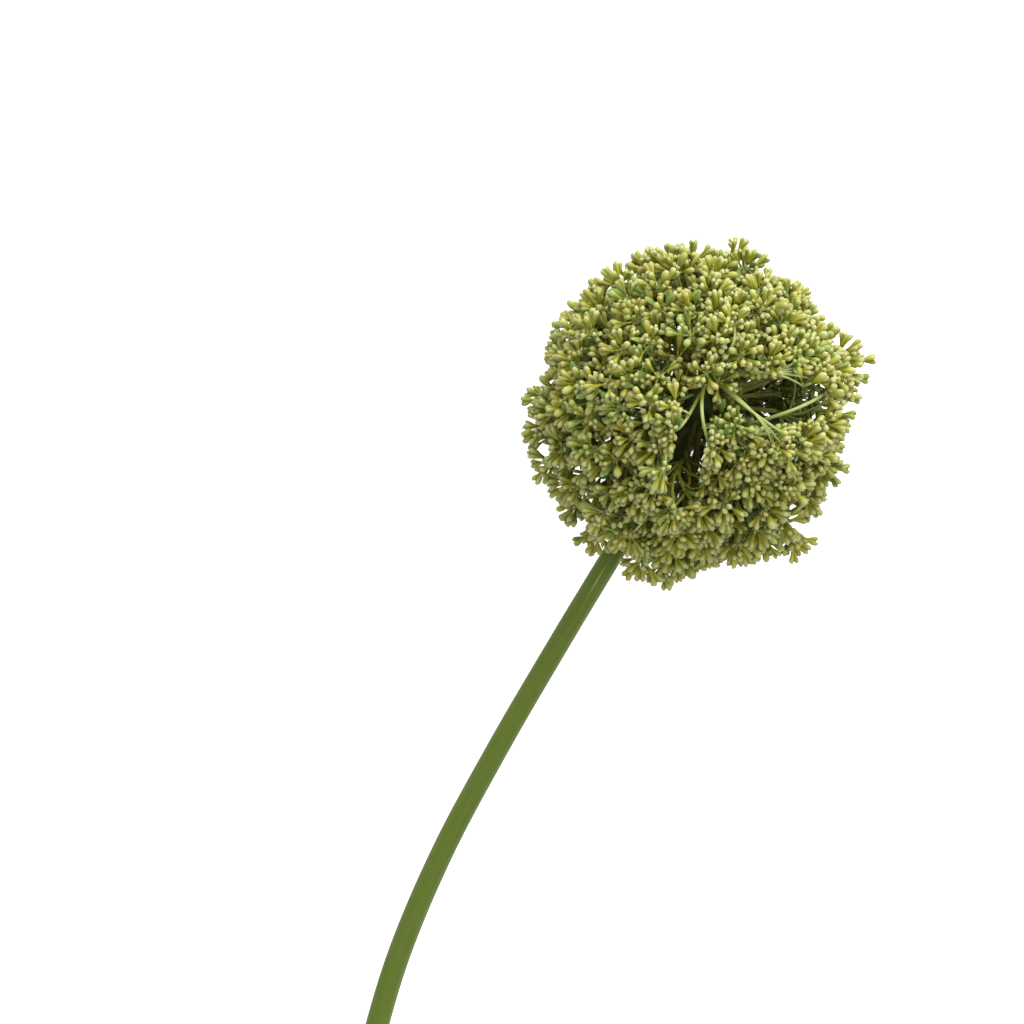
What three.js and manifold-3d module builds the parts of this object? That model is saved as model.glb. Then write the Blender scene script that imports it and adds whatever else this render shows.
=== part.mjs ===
// A giant allium flower head on its cut stem, laid down on a table.
//
// Units are millimetres and +Z is up. The cut end of the stem points to -Y and the head lies at +Y.
// The origin is on the table, under the middle of the flower's bounding box.
//
// The head is a ball of sprays. A spray is one ray that grows from the knob at the top of the stem
// and forks into thin stalks, and each stalk carries an umbel of club-shaped florets. The florets
// are drawn larger than life and fewer than on the living plant, so that they still cover the ball.
//
// Every spray keeps to its own cell, a cone with flat walls halfway to the neighbouring sprays, so no
// two sprays cross. Points are worked out in these cones first. They are then turned a little away
// from the stem, which opens its way through the ball, and set down on the table.

import * as THREE from 'three';
import { mergeVertices } from 'three/addons/utils/BufferGeometryUtils.js';
import Module from 'manifold-3d';

const wasm = await Module();
wasm.setup();

const { degToRad, lerp } = THREE.MathUtils;

// The head
const HEAD_CENTRE = new THREE.Vector3(0.1, 116, 58.3);
const HEAD_RADIUS = 62.2; // mean reach of the floret tips from the head's centre
const REACH_JITTER = 3.2; // how far one umbel's reach differs from the next
const PRESSED_DEPTH = 3; // how far florets that meet the table would reach below it unpressed
const KNOB_RADIUS = 9.5;
const KNOB_FACES = [14, 10]; // round the knob and from its top to its bottom

// Places where the ball swells out or falls in, by their angle in plan from +X
const SWELLS = [
  { angle: 20, extra: -9, width: 12 },
  { angle: 43, extra: 9, width: 12 },
  { angle: 62, extra: -7, width: 9 },
  { angle: 85, extra: -2, width: 9 },
  { angle: 101, extra: 2, width: 9 },
  { angle: 110, extra: -5, width: 8 },
  { angle: 133, extra: 2, width: 9 },
  { angle: 193, extra: -6, width: 9 },
  { angle: 219, extra: 7, width: 12 },
  { angle: 246, extra: 4, width: 11 },
  { angle: 284, extra: 12, width: 13 },
  { angle: 304, extra: -9, width: 9 },
  { angle: 335, extra: 6, width: 12 },
  { angle: 352, extra: -7, width: 10 },
];

// Gaps in the ball, between two places given in plan from the head's centre, on its upper side
const GAPS = [
  { from: [-1, -1], to: [6, -29], radius: degToRad(5) },
  { from: [13, 11], to: [36, 18], radius: degToRad(7.5) },
];

// The stem, through points given from the head's centre in plan and from the table in height
const STEM_ROUTE = [
  [0, 0, 58.3],
  [-3.4, -48, 47.9],
  [-8, -98, 37.5],
  [-11.9, -148, 26.8],
  [-13.7, -195, 17.3],
  [-11.3, -240, 9.7],
  [-4.5, -279, 5.4],
  [0, -294, 4.57],
];
const STEM_RADIUS_AT_HEAD = 3.85;
const STEM_RADIUS_AT_CUT = 4.6;
const STEM_SIDES = 12;
const STEM_STEPS = 26;
const STEM_CLEARANCE = 0.6;
const WELD = 1e-4; // corners nearer to each other than this are one

// The sprays
const SPRAY_COUNT = 52;
const SPRAY_SEED = 41;
const SPRAY_JITTER = 0.09;
const STEM_GAP_ANGLE = degToRad(9); // half-angle of the cone round the stem that holds no umbel
const NEAR_STEM_ANGLE = degToRad(45); // sprays nearer to the stem than this keep to one side of it
const NEIGHBOUR_ANGLE = degToRad(75);
const CELL_CLEARANCE = 0.2;
const CELL_ROUNDS = 6;
const RAY_START = KNOB_RADIUS + 0.3;
const FORK_RADIUS = 30;
const FORK_RISE = 0.8; // how far the middle of a fork stands above its rim
const RAY_RADIUS = 1.15;
const RAY_BOW = 0.8;
const RAY_RINGS = 3;

// The umbels and their florets
const FEW_UMBELS = 4;
const UMBEL_SHARE = 0.54; // place of an umbel between its spray's middle and the cell's wall
const UMBEL_GAP_MARGIN = degToRad(6.5);
const UMBEL_WALL_MARGIN = 5.5;
const UMBEL_JITTER = 0.25;
const UMBEL_TWIST = degToRad(24);
const CROWDED_ANGLE = degToRad(10.5); // umbels of one spray nearer to each other than this are spread
const SPREAD_ROUNDS = 12;
const UMBEL_CLEARANCE = 0.12;
const WIDE_CELL = 18.5; // mean distance to the walls above which a spray has one more umbel
const WIDEST_CELL = 27;
const WIDTH_LOOKS = 8; // sides on which a cell's width is taken
const UMBEL_DEPTH = 8.4; // from the reach of the tips down to the knot that carries the florets
const STALK_RADIUS = 0.66;
const STALK_TWIST = (Math.PI * 2) / 3;
const KNOT_RADIUS = 0.95;
const KNOT_HEIGHT = 1.5;
const SIDE_FLORETS = 3;
const SIDE_TILT = degToRad(47);
const SIDE_LENGTH = 10.6;
const TILT_SPREAD = 0.1; // how far side florets differ from each other, as a share of the mean
const LENGTH_SPREAD = 0.12;
const MIDDLE_LENGTH = 8.6;
const BELLY_AT = 0.74; // place of a floret's widest ring along its length
const BELLY_HALF_WIDTH = 3.2;
const MIDDLE_BELLY_RADIUS = 3.1;
const UMBEL_REACH = 8.4; // room that a full-size floret takes at the umbel's side
const SMALLEST_FLORET = 0.56;
const LARGEST_FLORET = 1.1;

const GOLDEN_ANGLE = Math.PI * (3 - Math.sqrt(5));
const UP = new THREE.Vector3(0, 0, 1);

const stemMaterial = new THREE.MeshStandardMaterial({ color: 0x637633, roughness: 0.55, metalness: 0 });
const sprayMaterial = new THREE.MeshStandardMaterial({ color: 0xa6a95c, roughness: 0.65, metalness: 0 });

/** A repeatable stream of numbers from 0 to 1. */
function seededRandom(seed) {
  let state = seed;
  return () => {
    state = (state + 0x6d2b79f5) | 0;
    let mixed = Math.imul(state ^ (state >>> 15), 1 | state);
    mixed = (mixed + Math.imul(mixed ^ (mixed >>> 7), 61 | mixed)) ^ mixed;
    return ((mixed ^ (mixed >>> 14)) >>> 0) / 4294967296;
  };
}

// ---------------------------------------------------------------------------------- the stem

const stemCurve = new THREE.CatmullRomCurve3(
  STEM_ROUTE.map(([x, y, height]) => new THREE.Vector3(HEAD_CENTRE.x + x, HEAD_CENTRE.y + y, height)),
);

/** Direction from the head's centre down the stem. */
const toStem = new THREE.Vector3(STEM_ROUTE[1][0], STEM_ROUTE[1][1], STEM_ROUTE[1][2] - HEAD_CENTRE.z);
toStem.normalize();

/** A closed geometry as a solid that can be joined with others. */
function solidOf(geometry) {
  geometry.deleteAttribute('normal');
  geometry.deleteAttribute('uv');
  const welded = mergeVertices(geometry, WELD);
  return new wasm.Manifold(
    new wasm.Mesh({
      numProp: 3,
      vertProperties: new Float32Array(welded.attributes.position.array),
      triVerts: new Uint32Array(welded.index.array),
    }),
  );
}

/** A joined solid as a geometry. */
function geometryOf(solid) {
  const mesh = solid.getMesh();
  const geometry = new THREE.BufferGeometry();
  geometry.setAttribute('position', new THREE.BufferAttribute(mesh.vertProperties, 3));
  geometry.setIndex(new THREE.BufferAttribute(mesh.triVerts, 1));
  geometry.computeVertexNormals();
  return geometry;
}

/** Narrows the stem's tube evenly from the cut end to the head. */
function taperStem(tube) {
  const positions = tube.attributes.position;
  const corner = new THREE.Vector3();
  const line = stemCurve.getPoints(STEM_STEPS * 4);
  for (let i = 0; i < positions.count; i += 1) {
    corner.fromBufferAttribute(positions, i);
    const along = (HEAD_CENTRE.y - corner.y) / -STEM_ROUTE[STEM_ROUTE.length - 1][1];
    const nearest = line.reduce((best, p) => (p.distanceTo(corner) < best.distanceTo(corner) ? p : best));
    const scale = lerp(STEM_RADIUS_AT_HEAD, STEM_RADIUS_AT_CUT, along) / STEM_RADIUS_AT_CUT;
    corner.sub(nearest).multiplyScalar(scale).add(nearest);
    positions.setXYZ(i, corner.x, corner.y, corner.z);
  }
}

/** The stem's tube with the knob at its top, where all rays start. */
function buildStem() {
  const section = new THREE.Shape();
  for (let i = 0; i < STEM_SIDES; i += 1) {
    const turn = ((i + 0.5) / STEM_SIDES) * Math.PI * 2;
    const x = STEM_RADIUS_AT_CUT * Math.cos(turn);
    const y = STEM_RADIUS_AT_CUT * Math.sin(turn);
    if (i === 0) {
      section.moveTo(x, y);
    } else {
      section.lineTo(x, y);
    }
  }
  section.closePath();
  const tube = new THREE.ExtrudeGeometry(section, { steps: STEM_STEPS, extrudePath: stemCurve });
  taperStem(tube);
  const knob = new THREE.SphereGeometry(KNOB_RADIUS, ...KNOB_FACES);
  knob.translate(HEAD_CENTRE.x, HEAD_CENTRE.y, HEAD_CENTRE.z);
  return geometryOf(solidOf(tube).add(solidOf(knob)));
}

// ------------------------------------------------------------------- the ball and its cells

/** Turns a point, given from the head's centre, away from the stem, which opens the stem's way. */
function clearOfStem(point) {
  const room = (STEM_RADIUS_AT_HEAD + STEM_CLEARANCE) / point.length();
  const opening = Math.asin(Math.min(1, room));
  const angle = point.angleTo(toStem);
  const axis = toStem.clone().cross(point).normalize();
  return point.applyAxisAngle(axis, opening * (1 - angle / Math.PI));
}

/** Moves a direction out of an arc-shaped gap; what lies between the two angles is pushed together. */
function pushedOut(direction, start, end, inner, outer) {
  const span = end.clone().sub(start);
  const along = direction.clone().sub(start).dot(span) / Math.max(span.lengthSq(), 1e-9);
  const nearest = start.clone().addScaledVector(span, THREE.MathUtils.clamp(along, 0, 1)).normalize();
  const angle = direction.angleTo(nearest);
  if (angle >= outer) {
    return direction;
  }
  const axis = nearest.clone().cross(direction).normalize();
  return nearest.applyAxisAngle(axis, inner + (angle * (outer - inner)) / outer);
}

/** Direction of a place on the head's upper side, given in plan from the head's centre. */
function upperSide([x, y]) {
  return new THREE.Vector3(x, y, Math.sqrt(HEAD_RADIUS ** 2 - x ** 2 - y ** 2)).normalize();
}

/** Moves a direction out of every gap and out of the stem's way. */
function clearOfGaps(direction, margin, spread) {
  let clear = direction;
  for (const gap of GAPS) {
    const inner = gap.radius + margin;
    clear = pushedOut(clear, upperSide(gap.from), upperSide(gap.to), inner, inner * spread);
  }
  return pushedOut(clear, toStem, toStem, STEM_GAP_ANGLE, STEM_GAP_ANGLE);
}

/** Directions of the sprays, spread evenly over the ball but for the stem's way and the gaps. */
function sprayDirections() {
  const random = seededRandom(SPRAY_SEED);
  const right = toStem.clone().cross(UP).normalize();
  const over = toStem.clone().cross(right);
  const directions = [];
  for (let i = 0; i < SPRAY_COUNT; i += 1) {
    const height = lerp(Math.cos(STEM_GAP_ANGLE), -1, (i + 0.5) / SPRAY_COUNT);
    const ring = Math.sqrt(1 - height ** 2);
    const direction = toStem.clone().multiplyScalar(height);
    direction.addScaledVector(right, ring * Math.cos(i * GOLDEN_ANGLE));
    direction.addScaledVector(over, ring * Math.sin(i * GOLDEN_ANGLE));
    direction.x += SPRAY_JITTER * (random() - 0.5);
    direction.y += SPRAY_JITTER * (random() - 0.5);
    direction.z += SPRAY_JITTER * (random() - 0.5);
    directions.push(clearOfGaps(direction.normalize(), UMBEL_GAP_MARGIN, 2));
  }
  return directions;
}

/** Inward normals of the walls round one spray's cell. */
function cellWalls(directions, own) {
  return directions
    .filter((other) => other !== own && other.angleTo(own) < NEIGHBOUR_ANGLE)
    .map((other) => own.clone().sub(other).normalize());
}

/** Moves a point into a cell until it is clear of all walls. */
function intoCell(point, walls, clearance) {
  for (let round = 0; round < CELL_ROUNDS; round += 1) {
    for (const wall of walls) {
      const short = clearance - point.dot(wall);
      if (short > 0) {
        point.addScaledVector(wall, short);
      }
    }
  }
  return point;
}

/** Distance from the middle of a cell to its wall, towards one side, at the ball's surface. */
function roomTowards(direction, side, walls) {
  let room = Infinity;
  for (const wall of walls) {
    const closing = -wall.dot(side);
    if (closing > 0) {
      room = Math.min(room, (HEAD_RADIUS * wall.dot(direction)) / closing);
    }
  }
  return room;
}

/** How far the floret tips reach in a direction. */
function reachOf(direction, jitter) {
  let reach = HEAD_RADIUS + REACH_JITTER * (jitter - 0.5);
  const open = clearOfStem(direction.clone().multiplyScalar(HEAD_RADIUS)).normalize();
  for (const swell of SWELLS) {
    const angle = degToRad(swell.angle);
    const away = open.angleTo(new THREE.Vector3(Math.cos(angle), Math.sin(angle), 0));
    reach += swell.extra * Math.exp(-((away / degToRad(swell.width)) ** 2));
  }
  const table = open.z < 0 ? HEAD_CENTRE.z / -open.z : Infinity;
  return reach > table ? table + PRESSED_DEPTH : reach;
}

// ------------------------------------------------------------------------------- the sprays

/** A closed skin, drawn loop by loop, so that each branch shares an edge with what carries it. */
class Skin {
  constructor() {
    this.points = [];
    this.faces = [];
  }

  /** Adds points and returns the loop of their numbers. */
  loop(points) {
    return points.map((point) => this.points.push(point) - 1);
  }

  /** Joins two loops by a band of faces. */
  band(from, to) {
    from.forEach((corner, i) => {
      const next = (i + 1) % from.length;
      this.faces.push([corner, from[next], to[next]], [corner, to[next], to[i]]);
    });
  }

  /** Closes a loop by a tip. */
  tip(loop, point) {
    const [end] = this.loop([point]);
    loop.forEach((corner, i) => this.faces.push([corner, loop[(i + 1) % loop.length], end]));
  }

  /** Closes a loop by a flat end. */
  cap(loop) {
    for (let i = 1; i + 1 < loop.length; i += 1) {
      this.faces.push([loop[0], loop[i], loop[i + 1]]);
    }
  }

  /** The skin as a geometry, with every point put in its final place. */
  geometry(place) {
    const geometry = new THREE.BufferGeometry();
    const positions = this.points.flatMap((point) => place(point).toArray());
    geometry.setAttribute('position', new THREE.Float32BufferAttribute(positions, 3));
    geometry.setIndex(this.faces.flat());
    geometry.computeVertexNormals();
    return geometry;
  }
}

/** Two directions across a given one. */
function sidesOf(direction) {
  const right = direction.clone().cross(Math.abs(direction.z) < 0.9 ? UP : toStem).normalize();
  return { right, over: direction.clone().cross(right) };
}

/** The direction across a given one at an angle round it. */
function across({ right, over }, angle) {
  return right.clone().multiplyScalar(Math.cos(angle)).addScaledVector(over, Math.sin(angle));
}

/** Points round a centre at the given angles, counter-clockwise seen against the direction. */
function ringPoints(centre, direction, radius, angles) {
  const sides = sidesOf(direction);
  return angles.map((angle) => centre.clone().addScaledVector(across(sides, angle), radius));
}

/** Angles that share a turn evenly. */
function evenTurn(start, count) {
  return Array.from({ length: count }, (_, i) => start + (i / count) * Math.PI * 2);
}

/** Draws a ray from the knob to its fork, with one side and one root at the fork for each stalk. */
function drawRay(skin, direction, stalkAngles, random) {
  const { right } = sidesOf(direction);
  const bow = RAY_BOW * 2 * (random() - 0.5);
  const corners = stalkAngles.map((angle) => angle - Math.PI / stalkAngles.length);
  let last = null;
  for (let i = 0; i < RAY_RINGS; i += 1) {
    const along = i / (RAY_RINGS - 1);
    const centre = direction.clone().multiplyScalar(lerp(RAY_START, FORK_RADIUS, along));
    centre.addScaledVector(right, bow * Math.sin(Math.PI * along));
    const ring = skin.loop(ringPoints(centre, direction, RAY_RADIUS, corners));
    if (last) {
      skin.band(last, ring);
    } else {
      skin.cap([...ring].reverse());
    }
    last = ring;
  }
  const [middle] = skin.loop([direction.clone().multiplyScalar(FORK_RADIUS + FORK_RISE)]);
  return last.map((corner, i) => [corner, last[(i + 1) % last.length], middle]);
}

/** Draws one floret from its root loop: a funnel that widens to a belly and closes in a blunt tip. */
function drawFloret(skin, root, bellyPoints, tip, walls) {
  const [end, ...belly] = [tip, ...bellyPoints].map((point) => intoCell(point, walls, UMBEL_CLEARANCE));
  const loop = skin.loop(belly);
  skin.band(root, loop);
  skin.tip(loop, end);
}

/** Draws one umbel: a stalk up to a knot, with florets on the knot's sides and on its top. */
function drawUmbel(skin, root, umbel, spray, walls, random) {
  const axis = umbel.direction;
  const sides = sidesOf(axis);
  const knot = axis.clone().multiplyScalar(umbel.reach - UMBEL_DEPTH);
  const outward = axis.clone().sub(spray);
  const turn = Math.atan2(outward.dot(sides.over), outward.dot(sides.right)) + UMBEL_TWIST * (random() - 0.5);
  const low = knot.clone().addScaledVector(axis, -KNOT_HEIGHT / 2);
  const high = knot.clone().addScaledVector(axis, KNOT_HEIGHT / 2);
  const angles = evenTurn(turn - STALK_TWIST, SIDE_FLORETS);
  const bottom = skin.loop(ringPoints(low, axis, STALK_RADIUS, angles));
  const top = skin.loop(ringPoints(high, axis, KNOT_RADIUS, angles));
  skin.band(root, bottom);

  let smallest = 1;
  for (let i = 0; i < SIDE_FLORETS; i += 1) {
    const next = (i + 1) % SIDE_FLORETS;
    const away = across(sides, angles[i] + Math.PI / SIDE_FLORETS);
    const room = roomTowards(axis, away, walls) / UMBEL_REACH;
    const size = THREE.MathUtils.clamp(room, SMALLEST_FLORET, LARGEST_FLORET);
    smallest = Math.min(smallest, size);
    const tilt = SIDE_TILT * size * (1 + TILT_SPREAD * (random() - 0.5));
    const heading = axis.clone().multiplyScalar(Math.cos(tilt)).addScaledVector(away, Math.sin(tilt));
    const sideways = axis.clone().cross(away);
    const raised = heading.clone().cross(sideways);
    const length = SIDE_LENGTH * (1 + LENGTH_SPREAD * (random() - 0.5));
    const half = BELLY_HALF_WIDTH * size;
    const centre = knot.clone().addScaledVector(heading, length * BELLY_AT);
    const square = [[-half, -half], [half, -half], [half, half], [-half, half]];
    const belly = square.map(([u, v]) => (
      centre.clone().addScaledVector(sideways, u).addScaledVector(raised, v)
    ));
    const floretRoot = [bottom[i], bottom[next], top[next], top[i]];
    drawFloret(skin, floretRoot, belly, knot.clone().addScaledVector(heading, length), walls);
  }

  const centre = knot.clone().addScaledVector(axis, MIDDLE_LENGTH * BELLY_AT);
  const belly = ringPoints(centre, axis, MIDDLE_BELLY_RADIUS * smallest, angles);
  drawFloret(skin, top, belly, knot.clone().addScaledVector(axis, MIDDLE_LENGTH), walls);
}

/** Moves crowded umbels apart, within their spray's cell. */
function spreadOut(places, walls) {
  for (let round = 0; round < SPREAD_ROUNDS; round += 1) {
    for (const place of places) {
      for (const other of places) {
        const short = CROWDED_ANGLE - place.angleTo(other);
        if (other !== place && short > 0) {
          place.addScaledVector(place.clone().sub(other).normalize(), short / 2).normalize();
        }
      }
      intoCell(place.multiplyScalar(HEAD_RADIUS), walls, UMBEL_WALL_MARGIN).normalize();
    }
  }
}

/** Places of a spray's umbels, in order round its ray and spread in its cell. */
function umbelsOf(direction, walls, random) {
  const sides = sidesOf(direction);
  const roomAt = (angle) => Math.min(roomTowards(direction, across(sides, angle), walls), WIDEST_CELL);
  const looks = evenTurn(0, WIDTH_LOOKS);
  const width = looks.reduce((sum, angle) => sum + roomAt(angle), 0) / WIDTH_LOOKS;
  const angles = evenTurn(random() * Math.PI * 2, width > WIDE_CELL ? FEW_UMBELS + 1 : FEW_UMBELS);
  const places = angles.map((even) => {
    const angle = even + UMBEL_JITTER * (random() - 0.5);
    const place = direction.clone().multiplyScalar(HEAD_RADIUS);
    place.addScaledVector(across(sides, angle), roomAt(angle) * UMBEL_SHARE);
    return clearOfGaps(place.normalize(), UMBEL_GAP_MARGIN, 1);
  });
  spreadOut(places, walls);
  return places.map((place, i) => ({ angle: angles[i], direction: place, reach: reachOf(place, random()) }));
}

/** One spray as a closed geometry. */
function buildSpray(directions, index) {
  const random = seededRandom(SPRAY_SEED + 1 + index);
  const direction = directions[index];
  const walls = cellWalls(directions, direction);
  const umbels = umbelsOf(direction, walls, random);
  const skin = new Skin();
  const roots = drawRay(skin, direction, umbels.map((umbel) => umbel.angle), random);
  umbels.forEach((umbel, i) => {
    const between = cellWalls(umbels.map((other) => other.direction), umbel.direction);
    drawUmbel(skin, roots[i], umbel, direction, [...walls, ...between], random);
  });
  const beside = direction.clone().projectOnPlane(toStem).normalize();
  const nearStem = direction.angleTo(toStem) < NEAR_STEM_ANGLE;
  return skin.geometry((point) => {
    const placed = clearOfStem(intoCell(point.clone(), walls, CELL_CLEARANCE));
    if (nearStem) {
      intoCell(placed, [beside], STEM_RADIUS_AT_HEAD + STEM_CLEARANCE);
    }
    placed.add(HEAD_CENTRE);
    placed.z = Math.max(placed.z, 0);
    return placed;
  });
}

// ------------------------------------------------------------------------------- the flower

const flower = new THREE.Group();

const stem = new THREE.Mesh(buildStem(), stemMaterial);
stem.name = 'stem';
flower.add(stem);

const directions = sprayDirections();
directions.forEach((direction, index) => {
  const spray = new THREE.Mesh(buildSpray(directions, index), sprayMaterial);
  spray.name = `spray_${String(index + 1).padStart(2, '0')}`;
  flower.add(spray);
});

export default flower;
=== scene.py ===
"""Looks of a giant allium flower head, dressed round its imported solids.

The head is grown by the same rule as its solids: rays from the knob fork into stalks, and every stalk
carries an umbel. Here the umbels get florets of true size, and smaller umbels stand between them.
Shapes are worked out in millimetres, and every finished piece is in metres.
"""

import logging
import math
from collections.abc import Callable, Sequence
from dataclasses import dataclass
from enum import Enum, IntEnum

import bmesh
import bpy
import numpy as np
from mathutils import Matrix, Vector
from mathutils.kdtree import KDTree

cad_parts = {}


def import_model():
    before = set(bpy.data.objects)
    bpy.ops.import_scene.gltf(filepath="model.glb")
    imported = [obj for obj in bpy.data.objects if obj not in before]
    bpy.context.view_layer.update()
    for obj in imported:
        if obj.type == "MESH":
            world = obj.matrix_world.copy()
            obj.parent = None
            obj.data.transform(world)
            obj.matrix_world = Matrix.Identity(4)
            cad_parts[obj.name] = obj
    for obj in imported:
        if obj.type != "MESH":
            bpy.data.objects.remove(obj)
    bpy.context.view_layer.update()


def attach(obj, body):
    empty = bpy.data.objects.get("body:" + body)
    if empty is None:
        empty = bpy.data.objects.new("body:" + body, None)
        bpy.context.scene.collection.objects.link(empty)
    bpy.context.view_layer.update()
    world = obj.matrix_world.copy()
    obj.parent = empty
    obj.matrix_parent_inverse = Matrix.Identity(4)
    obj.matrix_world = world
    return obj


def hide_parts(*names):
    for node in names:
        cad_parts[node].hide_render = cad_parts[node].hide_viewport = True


log = logging.getLogger("allium")

MM = 0.001
UP = np.array([0.0, 0.0, 1.0])
SIDEWAYS = np.array([1.0, 0.0, 0.0])
# A direction that rises more than this can't be crossed with UP to find its sides.
STEEP = 0.9
FULL_TURN = 2 * math.pi
# From one floret to the next on an umbel, so that none stands over another.
GOLDEN_ANGLE = math.pi * (3 - math.sqrt(5))

# Where the middle of the ball is, and where the camera stands from it in plan and over the table.
HEAD_CENTRE = (0.1, 116.0, 58.3)
CAMERA_ASIDE = (-45.43, -63.46)
CAMERA_HEIGHT = 1300.0


# ------------------------------------------------------------------------------ small helpers


def unit(vectors: np.ndarray) -> np.ndarray:
    """Scales one vector, or the vector in each row, to length 1; one without length stays."""
    length = np.linalg.norm(vectors, axis=-1, keepdims=True)
    return vectors / np.maximum(length, 1e-9)


def linear(hex_colour: str) -> tuple[float, float, float, float]:
    """Turns an sRGB colour into the linear one that shaders use.

    Args:
        hex_colour: The colour as "#rrggbb".

    Returns:
        Linear red, green, blue, and an alpha of 1.
    """
    channels = [int(hex_colour[i : i + 2], 16) / 255 for i in (1, 3, 5)]
    red, green, blue = [
        c / 12.92 if c <= 0.04045 else ((c + 0.055) / 1.055) ** 2.4 for c in channels
    ]
    return red, green, blue, 1.0


def add_node(
    tree: bpy.types.NodeTree, kind: str, inputs: dict | None = None, **settings: object
) -> bpy.types.Node:
    """Adds a node to a tree with its settings, input values and links.

    Args:
        tree: The tree that the node goes into.
        kind: Name of the node's type.
        inputs: Sockets by name or number, each with a value or with the socket it is linked from.
        **settings: The node's own settings.

    Returns:
        The new node.
    """
    node = tree.nodes.new(kind)
    for name, value in settings.items():
        setattr(node, name, value)
    for key, value in (inputs or {}).items():
        if isinstance(value, bpy.types.NodeSocket):
            tree.links.new(value, node.inputs[key])
        else:
            node.inputs[key].default_value = value
    return node


def bare_tree(owner: bpy.types.Material | bpy.types.World) -> bpy.types.NodeTree:
    """Switches on the nodes of a material or a world.

    Args:
        owner: The material or the world.

    Returns:
        Its tree, without a node.
    """
    owner.use_nodes = True
    owner.node_tree.nodes.clear()
    return owner.node_tree


def on_curve(line: np.ndarray, t: float | np.ndarray) -> np.ndarray:
    """Finds the places at shares t of a quadratic curve: its start, control point and end."""
    start, control, end = line
    return (1 - t) ** 2 * start + 2 * t * (1 - t) * control + t**2 * end


def curve_heading(line: np.ndarray, t: float | np.ndarray) -> np.ndarray:
    """Finds where such a curve is heading at shares t, at the curve's own speed."""
    start, control, end = line
    return 2 * (1 - t) * (control - start) + 2 * t * (end - control)


def interpolated(at: np.ndarray, stations: np.ndarray, rows: np.ndarray) -> np.ndarray:
    """Finds vectors at places between rising stations, from the rows given at those stations."""
    return np.stack([np.interp(at, stations, column) for column in rows.T], axis=1)


def add_attribute(mesh: bpy.types.Mesh, name: str, values: np.ndarray) -> None:
    """Gives the corners of a mesh values for its material to read.

    Args:
        mesh: The mesh.
        name: The attribute's name.
        values: A number or a vector for each corner.
    """
    kind, key = ("FLOAT", "value") if values.ndim == 1 else ("FLOAT_VECTOR", "vector")
    layer = mesh.attributes.new(name, kind, "POINT")
    layer.data.foreach_set(key, values.astype(np.float32).ravel())


class Chance:
    """A repeatable stream of numbers from 0 to 1, the same as the one that grew the solids.

    Attributes:
        WORD: The largest number that the stream's state takes.
        STEP: What the state grows by at each draw.
        STIR: What mixes the state once more.
    """

    WORD = 0xFFFFFFFF
    STEP = 0x6D2B79F5
    STIR = 61

    def __init__(self, seed: int) -> None:
        """Starts the stream at a seed."""
        self.state = seed

    def draw(self) -> float:
        """Draws the next number.

        Returns:
            A number from 0 up to 1.
        """
        self.state = (self.state + self.STEP) & self.WORD
        mixed = ((self.state ^ (self.state >> 15)) * (1 | self.state)) & self.WORD
        turned = ((mixed ^ (mixed >> 7)) * (self.STIR | mixed)) & self.WORD
        mixed = ((mixed + turned) & self.WORD) ^ mixed
        return (mixed ^ (mixed >> 14)) / (self.WORD + 1)


# ------------------------------------------------------------------------- modelling by hand


@dataclass(frozen=True)
class Template:
    """A shape that is modelled once and copied many times.

    Attributes:
        points: Corner places in millimetres, with the shape's foot at the origin and its axis on +Z.
        faces: Corner numbers of each face.
        tip: Share of each corner's height in the whole, from 0 at the foot to 1.
        groove_shade: 1 on corners that lie in the grooves, where shade is painted, else 0.
    """

    points: np.ndarray
    faces: list[tuple[int, ...]]
    tip: np.ndarray
    groove_shade: np.ndarray


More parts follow.
